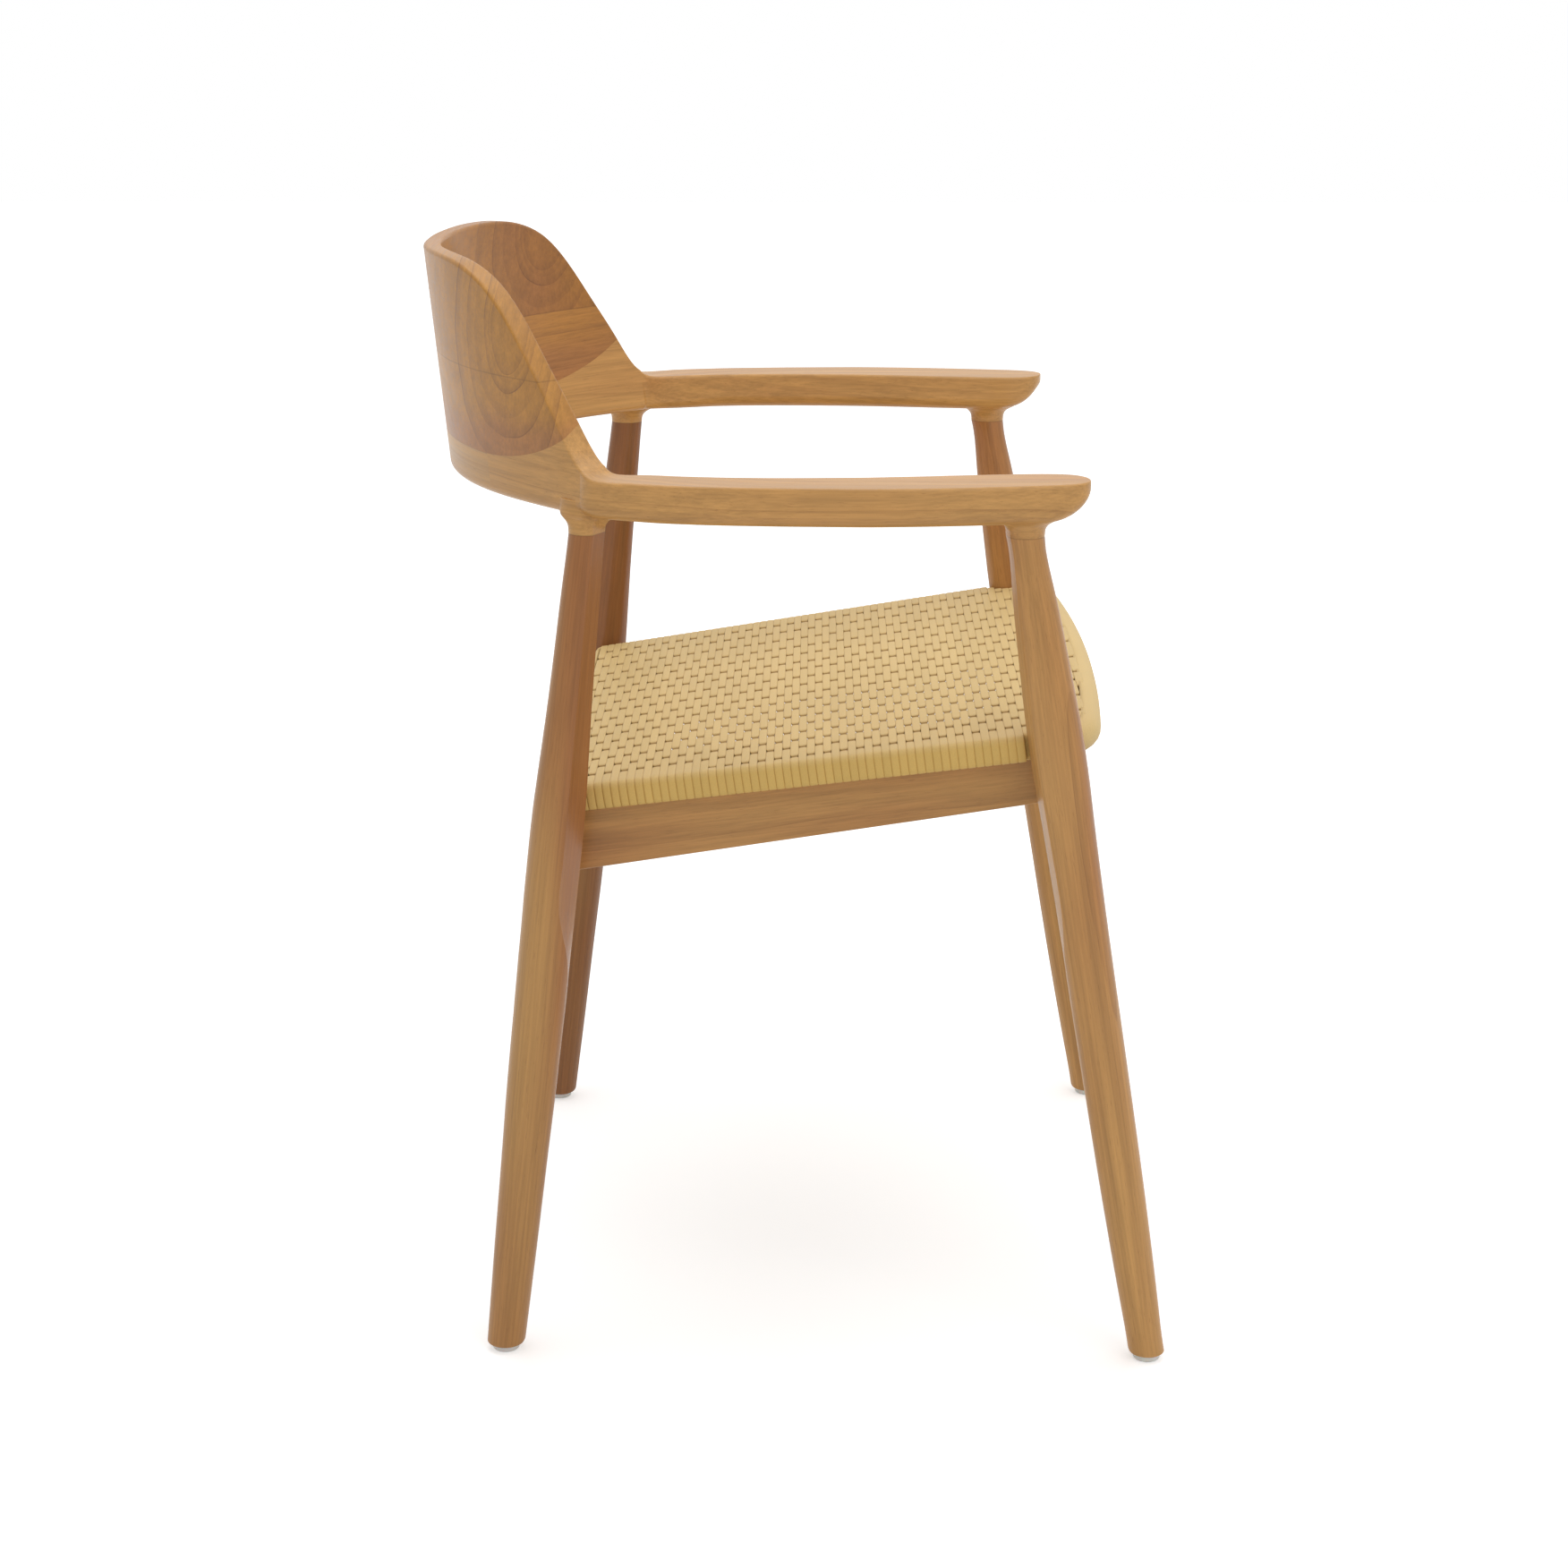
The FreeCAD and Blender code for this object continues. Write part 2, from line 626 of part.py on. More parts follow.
def seat_body(inset):
    """The panel's full body, drawn in by an even inset on all sides, with rolled edges."""
    top, low = -inset, inset - seat_thickness
    middle = (top + low) / 2
    half = (top - low) / 2
    levels = [middle + half * (1 - share) for share in roll_shares]
    levels += [middle - (level - middle) for level in reversed(levels[:-1])]

    def roll(level, depth):
        return depth * (1 - math.sqrt(max(1 - ((level - middle) / half) ** 2, 0)))

    wires = [seat_outline(level, inset + roll(level, side_roll), inset + roll(level, nose_roll),
                          inset + roll(level, side_roll)) for level in levels]
    return Part.makeLoft(wires, True, False)


def seat_opening(inset, low, high):
    """A plain prism inside the seat's outline."""
    return Part.Face(seat_outline(low, inset, inset, inset)).extrude(UP * (high - low))


def make_seat(leg_room):
    """The woven skin and the four members of the lift-out frame under it, notched round the front legs."""
    def notched(shape, inset):
        for side in (-1, 1):
            shape = shape.cut(local(mirrored(leg_room(leg_gap + inset), side)))
        return largest(shape)

    underside = -seat_thickness
    skin = notched(seat_body(0), 0).cut(notched(seat_body(skin_thickness), skin_thickness))
    skin = largest(skin.cut(seat_opening(skin_return, underside - overrun, underside / 2)))

    frame_body = notched(seat_body(skin_thickness + frame_fit), skin_thickness + frame_fit)
    ring = frame_body.cut(seat_opening(skin_thickness + frame_member_width, underside - overrun, overrun))
    joint_inset = skin_thickness + frame_member_width
    front_space = block((-span, span), (-span, seat_front_y + joint_inset), (-span, span))
    back_space = block((-span, span), (seat_back_y - joint_inset, span), (-span, span))
    pieces = {"woven_seat": skin, "seat_frame_front": largest(ring.common(front_space)),
              "seat_frame_back": largest(ring.common(back_space))}
    between = ring.cut(front_space).cut(back_space)
    for name, side in SIDES:
        member = [solid for solid in between.Solids if solid.CenterOfMass.x * side > 0]
        pieces["seat_frame_" + name] = max(member, key=lambda solid: solid.Volume)
    return {name: placed(shape) for name, shape in pieces.items()}


# Rails under the seat

def seat_level_at(y):
    """Height of the woven top above a place."""
    return seat_z - seat_rake_share * (y - seat_origin_y)


def under_seat(gap):
    """All the space below the seat panel, less a gap."""
    low = -seat_thickness / math.cos(rake) - gap
    return placed(block((-span, span), (-span, span), (low - span, low)))


def make_rails():
    """Front, back and side rails with their tenons, and the pockets that the legs and rails need."""
    room = under_seat(rail_gap)
    half = rail_thickness / 2
    front_y = front_leg_at(seat_level_at(front_neck_y) - seat_thickness - front_rail_height / 2).y
    back_y = back_leg_at(seat_level_at(back_neck_y) - seat_thickness - back_rail_height / 2).y
    pieces, pockets = {}, {}
    ends = (("front_rail", front_y, front_rail_height, front_leg_at, front_leg_radius),
            ("back_rail", back_y, back_rail_height, back_leg_at, back_leg_radius))
    for name, y, height, axis_at, radius in ends:
        top = seat_level_at(y) - seat_thickness
        low = top - height
        shoulder = axis_at(low + height / 2).x - radius + rail_shoulder_depth
        reach = shoulder + rail_tenon_length
        rail = block((-shoulder, shoulder), (y - half, y + half), (low, top + half)).common(room)
        tenon_half = rail_tenon_thickness / 2
        tenon_top = top - half * seat_rake_share - rail_tenon_inset

        def tenon(grow, longer):
            return block((-reach - longer, reach + longer), (y - tenon_half - grow, y + tenon_half + grow),
                         (low + rail_tenon_inset - grow, tenon_top + grow))

        housing = block((-shoulder - joint_fit, shoulder + joint_fit),
                        (y - half - joint_fit, y + half + joint_fit), (low - joint_fit, top + half))
        pieces[name] = rail.fuse(tenon(0, 0)).removeSplitter()
        pockets[name] = housing.fuse(tenon(joint_fit, tenon_end_gap))

    start_y, end_y = front_y + half, back_y - half

    def side_rail(near, far, inset_low, inset_high, outer_inset, thickness, grow):
        slope = (side_rail_back_x - side_rail_front_x) / (end_y - start_y)

        def outer(y):
            return side_rail_front_x + slope * (y - start_y) - outer_inset + grow

        def level(y, drop):
            return seat_level_at(y) - seat_thickness - drop

        full = thickness + grow + grow
        plan = prism([Vector(outer(near), near, 0), Vector(outer(far), far, 0),
                      Vector(outer(far) - full, far, 0), Vector(outer(near) - full, near, 0)], UP * span)
        low_slope = (side_rail_back_height - side_rail_front_height) / (end_y - start_y)

        def low(y):
            return level(y, side_rail_front_height + low_slope * (y - start_y) - inset_low + grow)

        def high(y):
            return level(y, inset_high - grow)

        view = prism([Vector(0, near, low(near)), Vector(0, far, low(far)), Vector(0, far, high(far)),
                      Vector(0, near, high(near))], Vector(span, 0, 0))
        return plan.common(view)

    tenon_side_inset = (rail_thickness - rail_tenon_thickness) / 2
    rail = side_rail(start_y, end_y, 0, -half, 0, rail_thickness, 0).common(room)

    def below_top(point):
        return point.z < seat_level_at(point.y) - seat_thickness - rail_tenon_inset

    long_edges = [edge for edge in rail.Edges if edge.Length > (end_y - start_y) * long_edge_share
                  and below_top(edge.CenterOfMass)]
    rail = rail.makeFillet(rail_round, long_edges)
    tenon_reach = rail_tenon_length * side_tenon_share

    def side_tenons(grow, longer):
        return side_rail(start_y - tenon_reach - longer, end_y + tenon_reach + longer, rail_tenon_inset,
                         rail_tenon_inset, tenon_side_inset, rail_tenon_thickness, grow)

    for name, side in SIDES:
        pieces["side_rail_" + name] = mirrored(rail.fuse(side_tenons(0, 0)).removeSplitter(), side)
        for end in ("front_rail", "back_rail"):
            pieces[end] = pieces[end].cut(mirrored(side_tenons(joint_fit, tenon_end_gap), side))
    return pieces, pockets, start_y, end_y


def make_corner_blocks(rails, start_y, end_y):
    """A glued and screwed block in each inner corner, with its two screws and one seat screw."""
    room = under_seat(rail_gap + block_drop)
    blocks, block_screws = {}, []
    for end, y, inward in (("front", start_y, 1), ("back", end_y, -1)):
        corner_x = side_rail_front_x if inward > 0 else side_rail_back_x
        inner_x = corner_x - rail_thickness
        top = seat_level_at(y) - seat_thickness
        reach = block_leg + rail_thickness
        low, half = top - block_height - block_drop, rail_thickness / 2
        shape = prism([Vector(inner_x + half, y - inward * half, low),
                       Vector(inner_x - reach, y - inward * half, low),
                       Vector(inner_x - block_leg, y + inward * block_toe, low),
                       Vector(inner_x - block_toe, y + inward * block_leg, low),
                       Vector(inner_x + half, y + inward * reach, low)], UP * (block_height + block_height))
        shape = shape.common(room)
        shape = largest(shape.cut(rails["side_rail_left"]).cut(rails[end + "_rail"]))
        level = top - block_drop - block_height / 2
        face = Vector(inner_x - (block_leg + block_toe) / 2, y + inward * (block_leg + block_toe) / 2, level)
        tilt_x, tilt_y = Vector(1, 0, 0), Vector(0, -inward, 0)
        screws = []
        for way, along, step in ((tilt_x, Vector(0, inward, 0), 1), (tilt_y, Vector(-1, 0, 0), -1)):
            head = face + (along + way) * block_screw_step + UP * (step * block_screw_lift)
            screws.append(screw(head, way, block_screw_length))
        for name, side in SIDES:
            piece = mirrored(shape, side)
            for pin, hole in screws:
                block_screws.append(mirrored(pin, side))
                piece = piece.cut(mirrored(hole, side))
                target = "side_rail_" + name if pin is screws[0][0] else end + "_rail"
                rails[target] = rails[target].cut(mirrored(hole, side))
            blocks["corner_block_%s_%s" % (end, name)] = piece
        blocks["screw_spot_" + end] = Vector(inner_x - seat_screw_inset, y + inward * seat_screw_inset, top)
    return blocks, block_screws


def make_glide(axis_at):
    """A nylon glide and its nail under one leg, and the hole for the nail."""
    foot = axis_at(glide_height)
    base = Vector(foot.x, foot.y, 0)
    pad = Part.makeCylinder(glide_radius, glide_height, base)
    rim = [edge for edge in pad.Edges if edge.BoundBox.ZMax < glide_height / 2 and len(edge.Vertexes) == 1]
    pad = pad.makeFillet(glide_edge, rim)
    head_low = base + UP * (nail_recess - nail_head_height)

    def nail(grow, longer):
        head = Part.makeCylinder(nail_head_radius + grow, nail_head_height + grow, head_low)
        return head.fuse(Part.makeCylinder(nail_radius + grow, nail_length + longer, head_low))

    well = Part.makeCylinder(nail_head_radius + nail_fit, nail_recess + nail_fit, base)
    pad = pad.cut(well).cut(nail(nail_fit, nail_fit))
    return pad, nail(0, 0).removeSplitter(), nail(nail_fit, nail_fit)


def main():
    """Build every piece and write it."""
    os.makedirs("parts", exist_ok=True)
    pieces = {}
    rails, pockets, start_y, end_y = make_rails()

    kinds = (("front", front_leg_at, front_leg_radius, front_leg_shares, 1, front_flat_degrees,
              front_boss_degrees),
             ("back", back_leg_at, back_leg_radius, back_leg_shares, -1, back_flat_degrees,
              back_boss_degrees))
    bosses, mortises, nails = [], [], []
    for name, axis_at, radius, profile, facing, flat, turn in kinds:
        leg = make_leg(axis_at, radius, profile, facing, flat).cut(pockets[name + "_rail"])
        pad, nail, hole = make_glide(axis_at)
        leg = largest(leg.cut(hole))
        bosses.append(make_boss(axis_at, radius * profile[-1][1], facing, flat, turn))
        mortises.append(leg_tenon(axis_at, tenon_fit, tenon_end_gap))
        for side_name, side in SIDES:
            pieces["leg_%s_%s" % (name, side_name)] = mirrored(leg, side)
            pieces["glide_%s_%s" % (name, side_name)] = mirrored(pad, side)
            nails.append(mirrored(nail, side))
    pieces["glide_nails"] = group(nails)

    pieces.update(make_back_and_arms(bosses, mortises))
    seat = make_seat(lambda grow: leg_body(front_leg_at, front_leg_radius, front_leg_shares, 1,
                                           front_flat_degrees, grow))
    blocks, block_screws = make_corner_blocks(rails, start_y, end_y)

    seat_screws = []
    down = seat_place.Rotation.multVec(UP)
    for end in ("front", "back"):
        spot = blocks.pop("screw_spot_" + end)
        head = spot - down * (block_drop + block_height - seat_head_proud)
        pin, hole = screw(head, down, seat_screw_length)
        well = Part.makeCylinder(screw_head_radius + screw_fit, overrun, head - down * overrun, down)
        for side_name, side in SIDES:
            seat_screws.append(mirrored(pin, side))
            block_name = "corner_block_%s_%s" % (end, side_name)
            blocks[block_name] = blocks[block_name].cut(mirrored(hole, side)).cut(mirrored(well, side))
            for piece in seat:
                seat[piece] = seat[piece].cut(mirrored(hole, side))

    for found in (rails, blocks, seat):
        pieces.update(found)
    pieces["block_screws"] = group(block_screws)
    pieces["seat_screws"] = group(seat_screws)
    for name, shape in sorted(pieces.items()):
        save(name, shape)
    box = Part.makeCompound(list(pieces.values())).BoundBox
    print("pieces %d, box x %.2f %.2f  y %.2f %.2f  z %.2f %.2f" % (len(pieces), box.XMin, box.XMax, box.YMin,
                                                                box.YMax, box.ZMin, box.ZMax))


main()
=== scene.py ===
"""Looks of the garden armchair: oiled hardwood, and a seat woven from flat synthetic cord."""

import math
import random

import bmesh
import bpy
from mathutils import Euler, Matrix, Vector
from mathutils.bvhtree import BVHTree


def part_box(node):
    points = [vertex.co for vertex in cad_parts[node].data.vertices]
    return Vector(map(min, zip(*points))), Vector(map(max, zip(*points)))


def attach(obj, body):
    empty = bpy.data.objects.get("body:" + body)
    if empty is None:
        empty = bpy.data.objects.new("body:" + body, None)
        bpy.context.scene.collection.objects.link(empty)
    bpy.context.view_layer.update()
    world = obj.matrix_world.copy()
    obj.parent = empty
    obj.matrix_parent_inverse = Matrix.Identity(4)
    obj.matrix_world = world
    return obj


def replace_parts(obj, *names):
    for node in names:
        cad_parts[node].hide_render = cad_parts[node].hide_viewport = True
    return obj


bl_info = {
    "name": "Garden Armchair Looks",
    "version": (1, 0, 0),
    "blender": (4, 5, 0),
    "location": "View3D > Sidebar > Chair",
    "description": "Woven seat, oiled wood and a pale studio for the garden armchair",
    "category": "Object",
}

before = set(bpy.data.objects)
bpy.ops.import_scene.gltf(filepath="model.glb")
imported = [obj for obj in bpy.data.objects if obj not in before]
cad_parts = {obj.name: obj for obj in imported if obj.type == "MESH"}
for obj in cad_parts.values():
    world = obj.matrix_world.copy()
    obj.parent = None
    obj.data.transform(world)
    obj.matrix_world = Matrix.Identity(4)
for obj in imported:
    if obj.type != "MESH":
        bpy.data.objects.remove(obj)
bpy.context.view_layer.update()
BODY = "root"
SIDES = (("right", -1), ("left", 1))
WHITE = (1.0, 1.0, 1.0, 1.0)

# Heights where wood meets wood: leg and arm, bow and middle board, middle and top board
LEG_JOINT_Z, BOW_JOINT_Z, TOP_JOINT_Z = 0.6195, 0.661, 0.7215

# Middle and radius of the back's curve, which the grain of the bow and the arms follows, and the
# radius at which their rings have their middle
BOW_MIDDLE_Y = -0.0384
BOW_RADIUS = 0.295
PITH_RADIUS = BOW_RADIUS + 0.03

# Scale of each part of the wood's figure, across and along the grain
FIBRES, BUNDLES, PORES = (650.0, 650.0, 10.0), (150.0, 150.0, 3.0), (1500.0, 1500.0, 90.0)
PATCHES, STREAKS, BREAKS = (13.0, 13.0, 1.9), (75.0, 75.0, 2.6), (30.0, 30.0, 9.0)

# Scale of the bends in the rings, and how far each bend moves them
RING_BENDS = (((5.0, 5.0, 1.4), 0.05), ((26.0, 26.0, 5.0), 0.009))

# Each end's direction, and the x and y of its legs' middle line at the floor and at the arm
LEG_LINES = {"front": (-1, (0.2721, -0.2661), (0.2555, -0.1644)),
             "back": (1, (0.2591, 0.2129), (0.246, 0.1425))}

# Each leg's level of colour, redness, streaks and seed
LEG_TONES = {("front", "right"): (0.97, 0.0, 0.25, 31.0), ("back", "right"): (0.86, 0.16, 0.5, 37.0),
             ("front", "left"): (0.96, 0.08, 0.45, 41.0), ("back", "left"): (0.68, 0.55, 1.0, 47.0)}

# Rows of the warp across the seat, from the sitter's right to the left: place, and drift to the back
WARP_ROWS = ((-0.225, 0.0), (-0.2005, 0.0), (-0.1795, 0.0), (-0.157, 0.0), (-0.133, 0.0), (-0.110, 0.0),
             (-0.086, 0.0), (-0.062, 0.0), (-0.038, 0.0), (-0.011, 0.0), (0.015, 0.0), (0.043, 0.0),
             (0.067, -0.005), (0.097, -0.02), (0.126, -0.04), (0.1565, -0.045), (0.188, -0.05),
             (0.219, -0.083))
WARP_MIDDLE_Y = -0.06

# A strand where it dives under a warp cord: distance along it, share of the depth, which also sets its
# painted shade, share of the width
DIP_HALF = ((0.0064, 0.0, 1.0), (0.0045, 0.03, 0.96), (0.0036, 0.14, 0.86), (0.0030, 0.4, 0.78),
            (0.0025, 0.9, 1.0), (0.0011, 1.0, 1.0))
DIP_PROFILE = [(-away, *rest) for away, *rest in DIP_HALF] + list(reversed(DIP_HALF))
DIP_DEPTH = 0.00178
DIP_THINNING = 0.0003

# Half the thickness of the cord on top, where it rounds the sides, and in the bands
CORD_FLAT, CORD_ROUND, CORD_BAND = 0.0009, 0.0016, 0.0015
SIDE_ROLL = 0.005
WARP_HALF_WIDTH, WARP_HALF_THICKNESS = 0.0026, 0.00035

# What a cord's mesh carries: its share of painted shade, its own lightness, and how far over the side,
# which sets the painted side shade
CORD_LAYERS = ("painted_shade", "tone", "rib")
CORD_FLECKS, BAND_FLECKS = (400.0, 1200.0, 1200.0), (900.0, 900.0, 900.0)


# Settings

class ChairSeatSettings(bpy.types.PropertyGroup):
    """Sizes and colours of the woven seat."""
    height: bpy.props.FloatProperty(
        name="Height", description="Height of the woven top at the middle", default=0.4546, unit="LENGTH")
    setback: bpy.props.FloatProperty(
        name="Setback", description="Place of the seat's middle along the chair", default=-0.02431,
        unit="LENGTH")
    rake: bpy.props.FloatProperty(
        name="Rake", description="Fall of the seat towards the back, as a share", default=0.1405)
    half_width: bpy.props.FloatProperty(
        name="Half Width", description="Half the width at the middle", default=0.2433, unit="LENGTH")
    taper: bpy.props.FloatProperty(
        name="Taper", description="Narrowing towards the back, as a share", default=0.084)
    front: bpy.props.FloatProperty(
        name="Front", description="Front edge in the seat's own frame", default=-0.20945, unit="LENGTH")
    back: bpy.props.FloatProperty(
        name="Back", description="Back edge in the seat's own frame", default=0.19895, unit="LENGTH")
    bow: bpy.props.FloatProperty(
        name="Bow", description="Bow of the front edge", default=0.0125, unit="LENGTH")
    front_corner: bpy.props.FloatProperty(
        name="Front Corner", description="Length of the front corners' bend", default=0.047, unit="LENGTH")
    back_corner: bpy.props.FloatProperty(
        name="Back Corner", description="Length of the back corners' bend", default=0.014, unit="LENGTH")
    thickness: bpy.props.FloatProperty(
        name="Thickness", description="Thickness of the seat at its edge", default=0.0205, unit="LENGTH")
    pitch: bpy.props.FloatProperty(
        name="Strand Pitch", description="Distance between strands", default=0.006, unit="LENGTH")
    strand_width: bpy.props.FloatProperty(
        name="Strand Width", description="Width of a strand", default=0.00612, unit="LENGTH")
    return_depth: bpy.props.FloatProperty(
        name="Return", description="How far the strands come back underneath", default=0.026, unit="LENGTH")
    leg_gap: bpy.props.FloatProperty(
        name="Leg Gap", description="Space left beside the front legs", default=0.0003, unit="LENGTH")
    nose_band: bpy.props.FloatProperty(
        name="Nose Band", description="Width of the smooth band along the front", default=0.01195,
        unit="LENGTH")
    nose_roll: bpy.props.FloatProperty(
        name="Nose Roll", description="How far back the rounding of the front reaches", default=0.014,
        unit="LENGTH")
    cord_colour: bpy.props.FloatVectorProperty(
        name="Cord Colour", description="Colour of the cord on top", default=(0.688, 0.495, 0.214),
        subtype="COLOR", size=3, min=0.0, max=1.0)
    # Painted shade: the sides are the same cord, drawn darker and more golden as light falls on them
    side_shade_colour: bpy.props.FloatVectorProperty(
        name="Side Colour", description="Colour of the cord on the sides", default=(0.65, 0.425, 0.125),
        subtype="COLOR", size=3, min=0.0, max=1.0)
    # Painted shade colour for the gaps between strands, the warp and the bands' undersides
    shade_colour: bpy.props.FloatVectorProperty(
        name="Gap Colour", description="Colour deep between the strands", default=(0.34, 0.20, 0.065),
        subtype="COLOR", size=3, min=0.0, max=1.0)


class ChairWoodSettings(bpy.types.PropertyGroup):
    """Colours and figure of the oiled hardwood."""
    light: bpy.props.FloatVectorProperty(
        name="Light Wood", description="Colour between the rings", default=(0.585, 0.335, 0.112),
        subtype="COLOR", size=3, min=0.0, max=1.0)
    red: bpy.props.FloatVectorProperty(
        name="Red Wood", description="Colour of the redder heartwood", default=(0.42, 0.185, 0.06),
        subtype="COLOR", size=3, min=0.0, max=1.0)
    dark: bpy.props.FloatVectorProperty(
        name="Ring Colour", description="Colour of the late wood in each ring", default=(0.23, 0.10, 0.034),
        subtype="COLOR", size=3, min=0.0, max=1.0)
    ring_width: bpy.props.FloatProperty(
        name="Ring Width", description="Distance between growth rings", default=0.0078, unit="LENGTH")


class ChairStageSettings(bpy.types.PropertyGroup):
    """Camera and light."""
    eye: bpy.props.FloatVectorProperty(
        name="Eye", description="Place of the camera", default=(-2.4195, -0.0169, 1.0472),
        subtype="TRANSLATION", size=3)
    pitch: bpy.props.FloatProperty(
        name="Pitch", description="How far the camera looks down", default=math.radians(15.697),
        subtype="ANGLE")
    yaw: bpy.props.FloatProperty(
        name="Yaw", description="How far the camera turns to the chair's back", default=math.radians(0.478),
        subtype="ANGLE")
    lens: bpy.props.FloatProperty(
        name="Lens", description="Focal length in millimetres", default=72.25)
    shift: bpy.props.FloatProperty(
        name="Shift", description="Sideways shift of the frame", default=-0.00265)
    sky: bpy.props.FloatProperty(
        name="Sky", description="Strength of the even light", default=0.62)
    lamp: bpy.props.FloatProperty(
        name="Lamp", description="Power of the soft lamp overhead in watts", default=26.0)
    floor_colour: bpy.props.FloatVectorProperty(
        name="Floor", description="Colour of the floor", default=(0.9, 0.9, 0.9), subtype="COLOR", size=3,
        min=0.0, max=1.0)


# Helpers for node trees and objects

def add_node(tree, kind, **values):
    """A node with its settings."""
    node = tree.nodes.new(kind)
    for key, value in values.items():
        setattr(node, key, value)
    return node


def feed(tree, socket, value):
    """A link or a plain value into a socket."""
    if isinstance(value, bpy.types.NodeSocket):
        tree.links.new(value, socket)
    else:
        socket.default_value = value


def set_inputs(node, values):
    """Plain values on a node's named inputs."""
    for name, value in values.items():
        node.inputs[name].default_value = value


def calc(tree, operation, first, second=0.0, clamp=False):
    """A Math node's result."""
    node = add_node(tree, "ShaderNodeMath", operation=operation, use_clamp=clamp)
    feed(tree, node.inputs[0], first)
    feed(tree, node.inputs[1], second)
    return node.outputs[0]


def product(tree, first, second, clamp=False):
    """Two numbers multiplied."""
    return calc(tree, "MULTIPLY", first, second, clamp)


def total(tree, first, second, clamp=False):
    """Two numbers added."""
    return calc(tree, "ADD", first, second, clamp)


def vector_calc(tree, operation, *values):
    """A Vector Math node, fed in the order of its inputs."""
    node = add_node(tree, "ShaderNodeVectorMath", operation=operation)
    for socket, value in zip(node.inputs, values):
        feed(tree, socket, value)
    return node


def joined(tree, kind, parts):
    """A colour or a vector from its three parts."""
    node = add_node(tree, kind)
    for socket, part in zip(node.inputs, parts):
        feed(tree, socket, part)
    return node.outputs[0]


def blend_colour(tree, share, first, second, mode="MIX"):
    """Two colours mixed by a share."""
    node = add_node(tree, "ShaderNodeMix", data_type="RGBA", blend_type=mode)
    feed(tree, node.inputs["Factor"], share)
    feed(tree, node.inputs[6], first)
    feed(tree, node.inputs[7], second)
    return node.outputs[2]


def between(tree, value, low, high, to_low=0.0, to_high=1.0):
    """A value taken smoothly from one range to another."""
    node = add_node(tree, "ShaderNodeMapRange", interpolation_type="SMOOTHSTEP")
    for socket, number in zip(node.inputs[:5], (value, low, high, to_low, to_high)):
        feed(tree, socket, number)
    return node.outputs[0]


def object_place(tree):
    """The point on the surface, in the object's own coordinates."""
    return add_node(tree, "ShaderNodeTexCoord").outputs["Object"]


def stretched_noise(tree, vector, scale, detail, seed):
    """Noise on a vector that is scaled along each axis."""
    mapping = add_node(tree, "ShaderNodeMapping")
    mapping.inputs["Scale"].default_value = scale
    feed(tree, mapping.inputs["Vector"], vector)
    noise = add_node(tree, "ShaderNodeTexNoise", noise_dimensions="4D")
    set_inputs(noise, {"Scale": 1.0, "Detail": detail})
    feed(tree, noise.inputs["Vector"], mapping.outputs[0])
    feed(tree, noise.inputs["W"], seed)
    return noise


def add_bump(tree, shader, height, strength, distance):
    """Fine relief on a shader from a height."""
    bump = add_node(tree, "ShaderNodeBump")
    set_inputs(bump, {"Strength": strength, "Distance": distance})
    feed(tree, bump.inputs["Height"], height)
    feed(tree, shader.inputs["Normal"], bump.outputs[0])


def new_group(name, inputs, outputs):
    """An empty shader group with named sockets."""
    group = bpy.data.node_groups.new(name, "ShaderNodeTree")
    for label, kind in inputs:
        group.interface.new_socket(name=label, in_out="INPUT", socket_type=kind)
    for label, kind in outputs:
        group.interface.new_socket(name=label, in_out="OUTPUT", socket_type=kind)
    return group, add_node(group, "NodeGroupInput"), add_node(group, "NodeGroupOutput")


def new_material(name):
    """A material with only its shader and output."""
    material = bpy.data.materials.new(name)
    material.use_nodes = True
    return material, material.node_tree, material.node_tree.nodes["Principled BSDF"]


def new_object(name, data):
    """An object in the scene."""
    made = bpy.data.objects.new(name, data)
    bpy.context.scene.collection.objects.link(made)
    return made


def dress(nodes, material):
    """A material on the slots of CAD nodes."""
    for name in nodes:
        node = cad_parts[name]
        if not node.material_slots:
            node.data.materials.append(material)
        for slot in node.material_slots:
            slot.material = material


# Wood

def growth_rings(group, vector, seed, ring_width):
    """Late wood of each ring as a soft band and a fine broken line, round an axis along z."""
    moved = vector
    for scale, reach in RING_BENDS:
        bend = stretched_noise(group, vector, scale, 2.0, seed)
        centred = vector_calc(group, "SUBTRACT", bend.outputs["Color"], (0.5, 0.5, 0.5)).outputs[0]
        moved = vector_calc(group, "MULTIPLY_ADD", centred, (reach, reach, 0.0), moved).outputs[0]
    flat = vector_calc(group, "MULTIPLY", moved, (1.0, 1.0, 0.0)).outputs[0]
    away = vector_calc(group, "LENGTH", flat).outputs["Value"]

    spread = add_node(group, "ShaderNodeTexNoise", noise_dimensions="1D")
    spread.inputs["Scale"].default_value = 60.0
    feed(group, spread.inputs["W"], total(group, away, seed))
    count = calc(group, "DIVIDE", away, ring_width)
    count = total(group, count, product(group, spread.outputs[0], 3.0))
    part = calc(group, "FRACT", count)
    each = add_node(group, "ShaderNodeTexWhiteNoise", noise_dimensions="1D")
    feed(group, each.inputs["W"], total(group, calc(group, "FLOOR", count), seed))
    strength = each.outputs["Value"]

    soft = product(group, between(group, part, 0.1, 0.95), between(group, part, 0.95, 1.0, 1.0, 0.0))
    soft = product(group, soft, between(group, strength, 0.0, 1.0, 0.15, 0.55))
    fine = product(group, between(group, part, 0.86, 0.95), between(group, part, 0.95, 0.99, 1.0, 0.0))
    broken = stretched_noise(group, vector, BREAKS, 2.0, seed)
    fine = product(group, fine, between(group, broken.outputs[0], 0.42, 0.62))
    fine = product(group, fine, between(group, strength, 0.5, 1.0))
    return total(group, product(group, soft, 0.8), product(group, fine, 0.8))


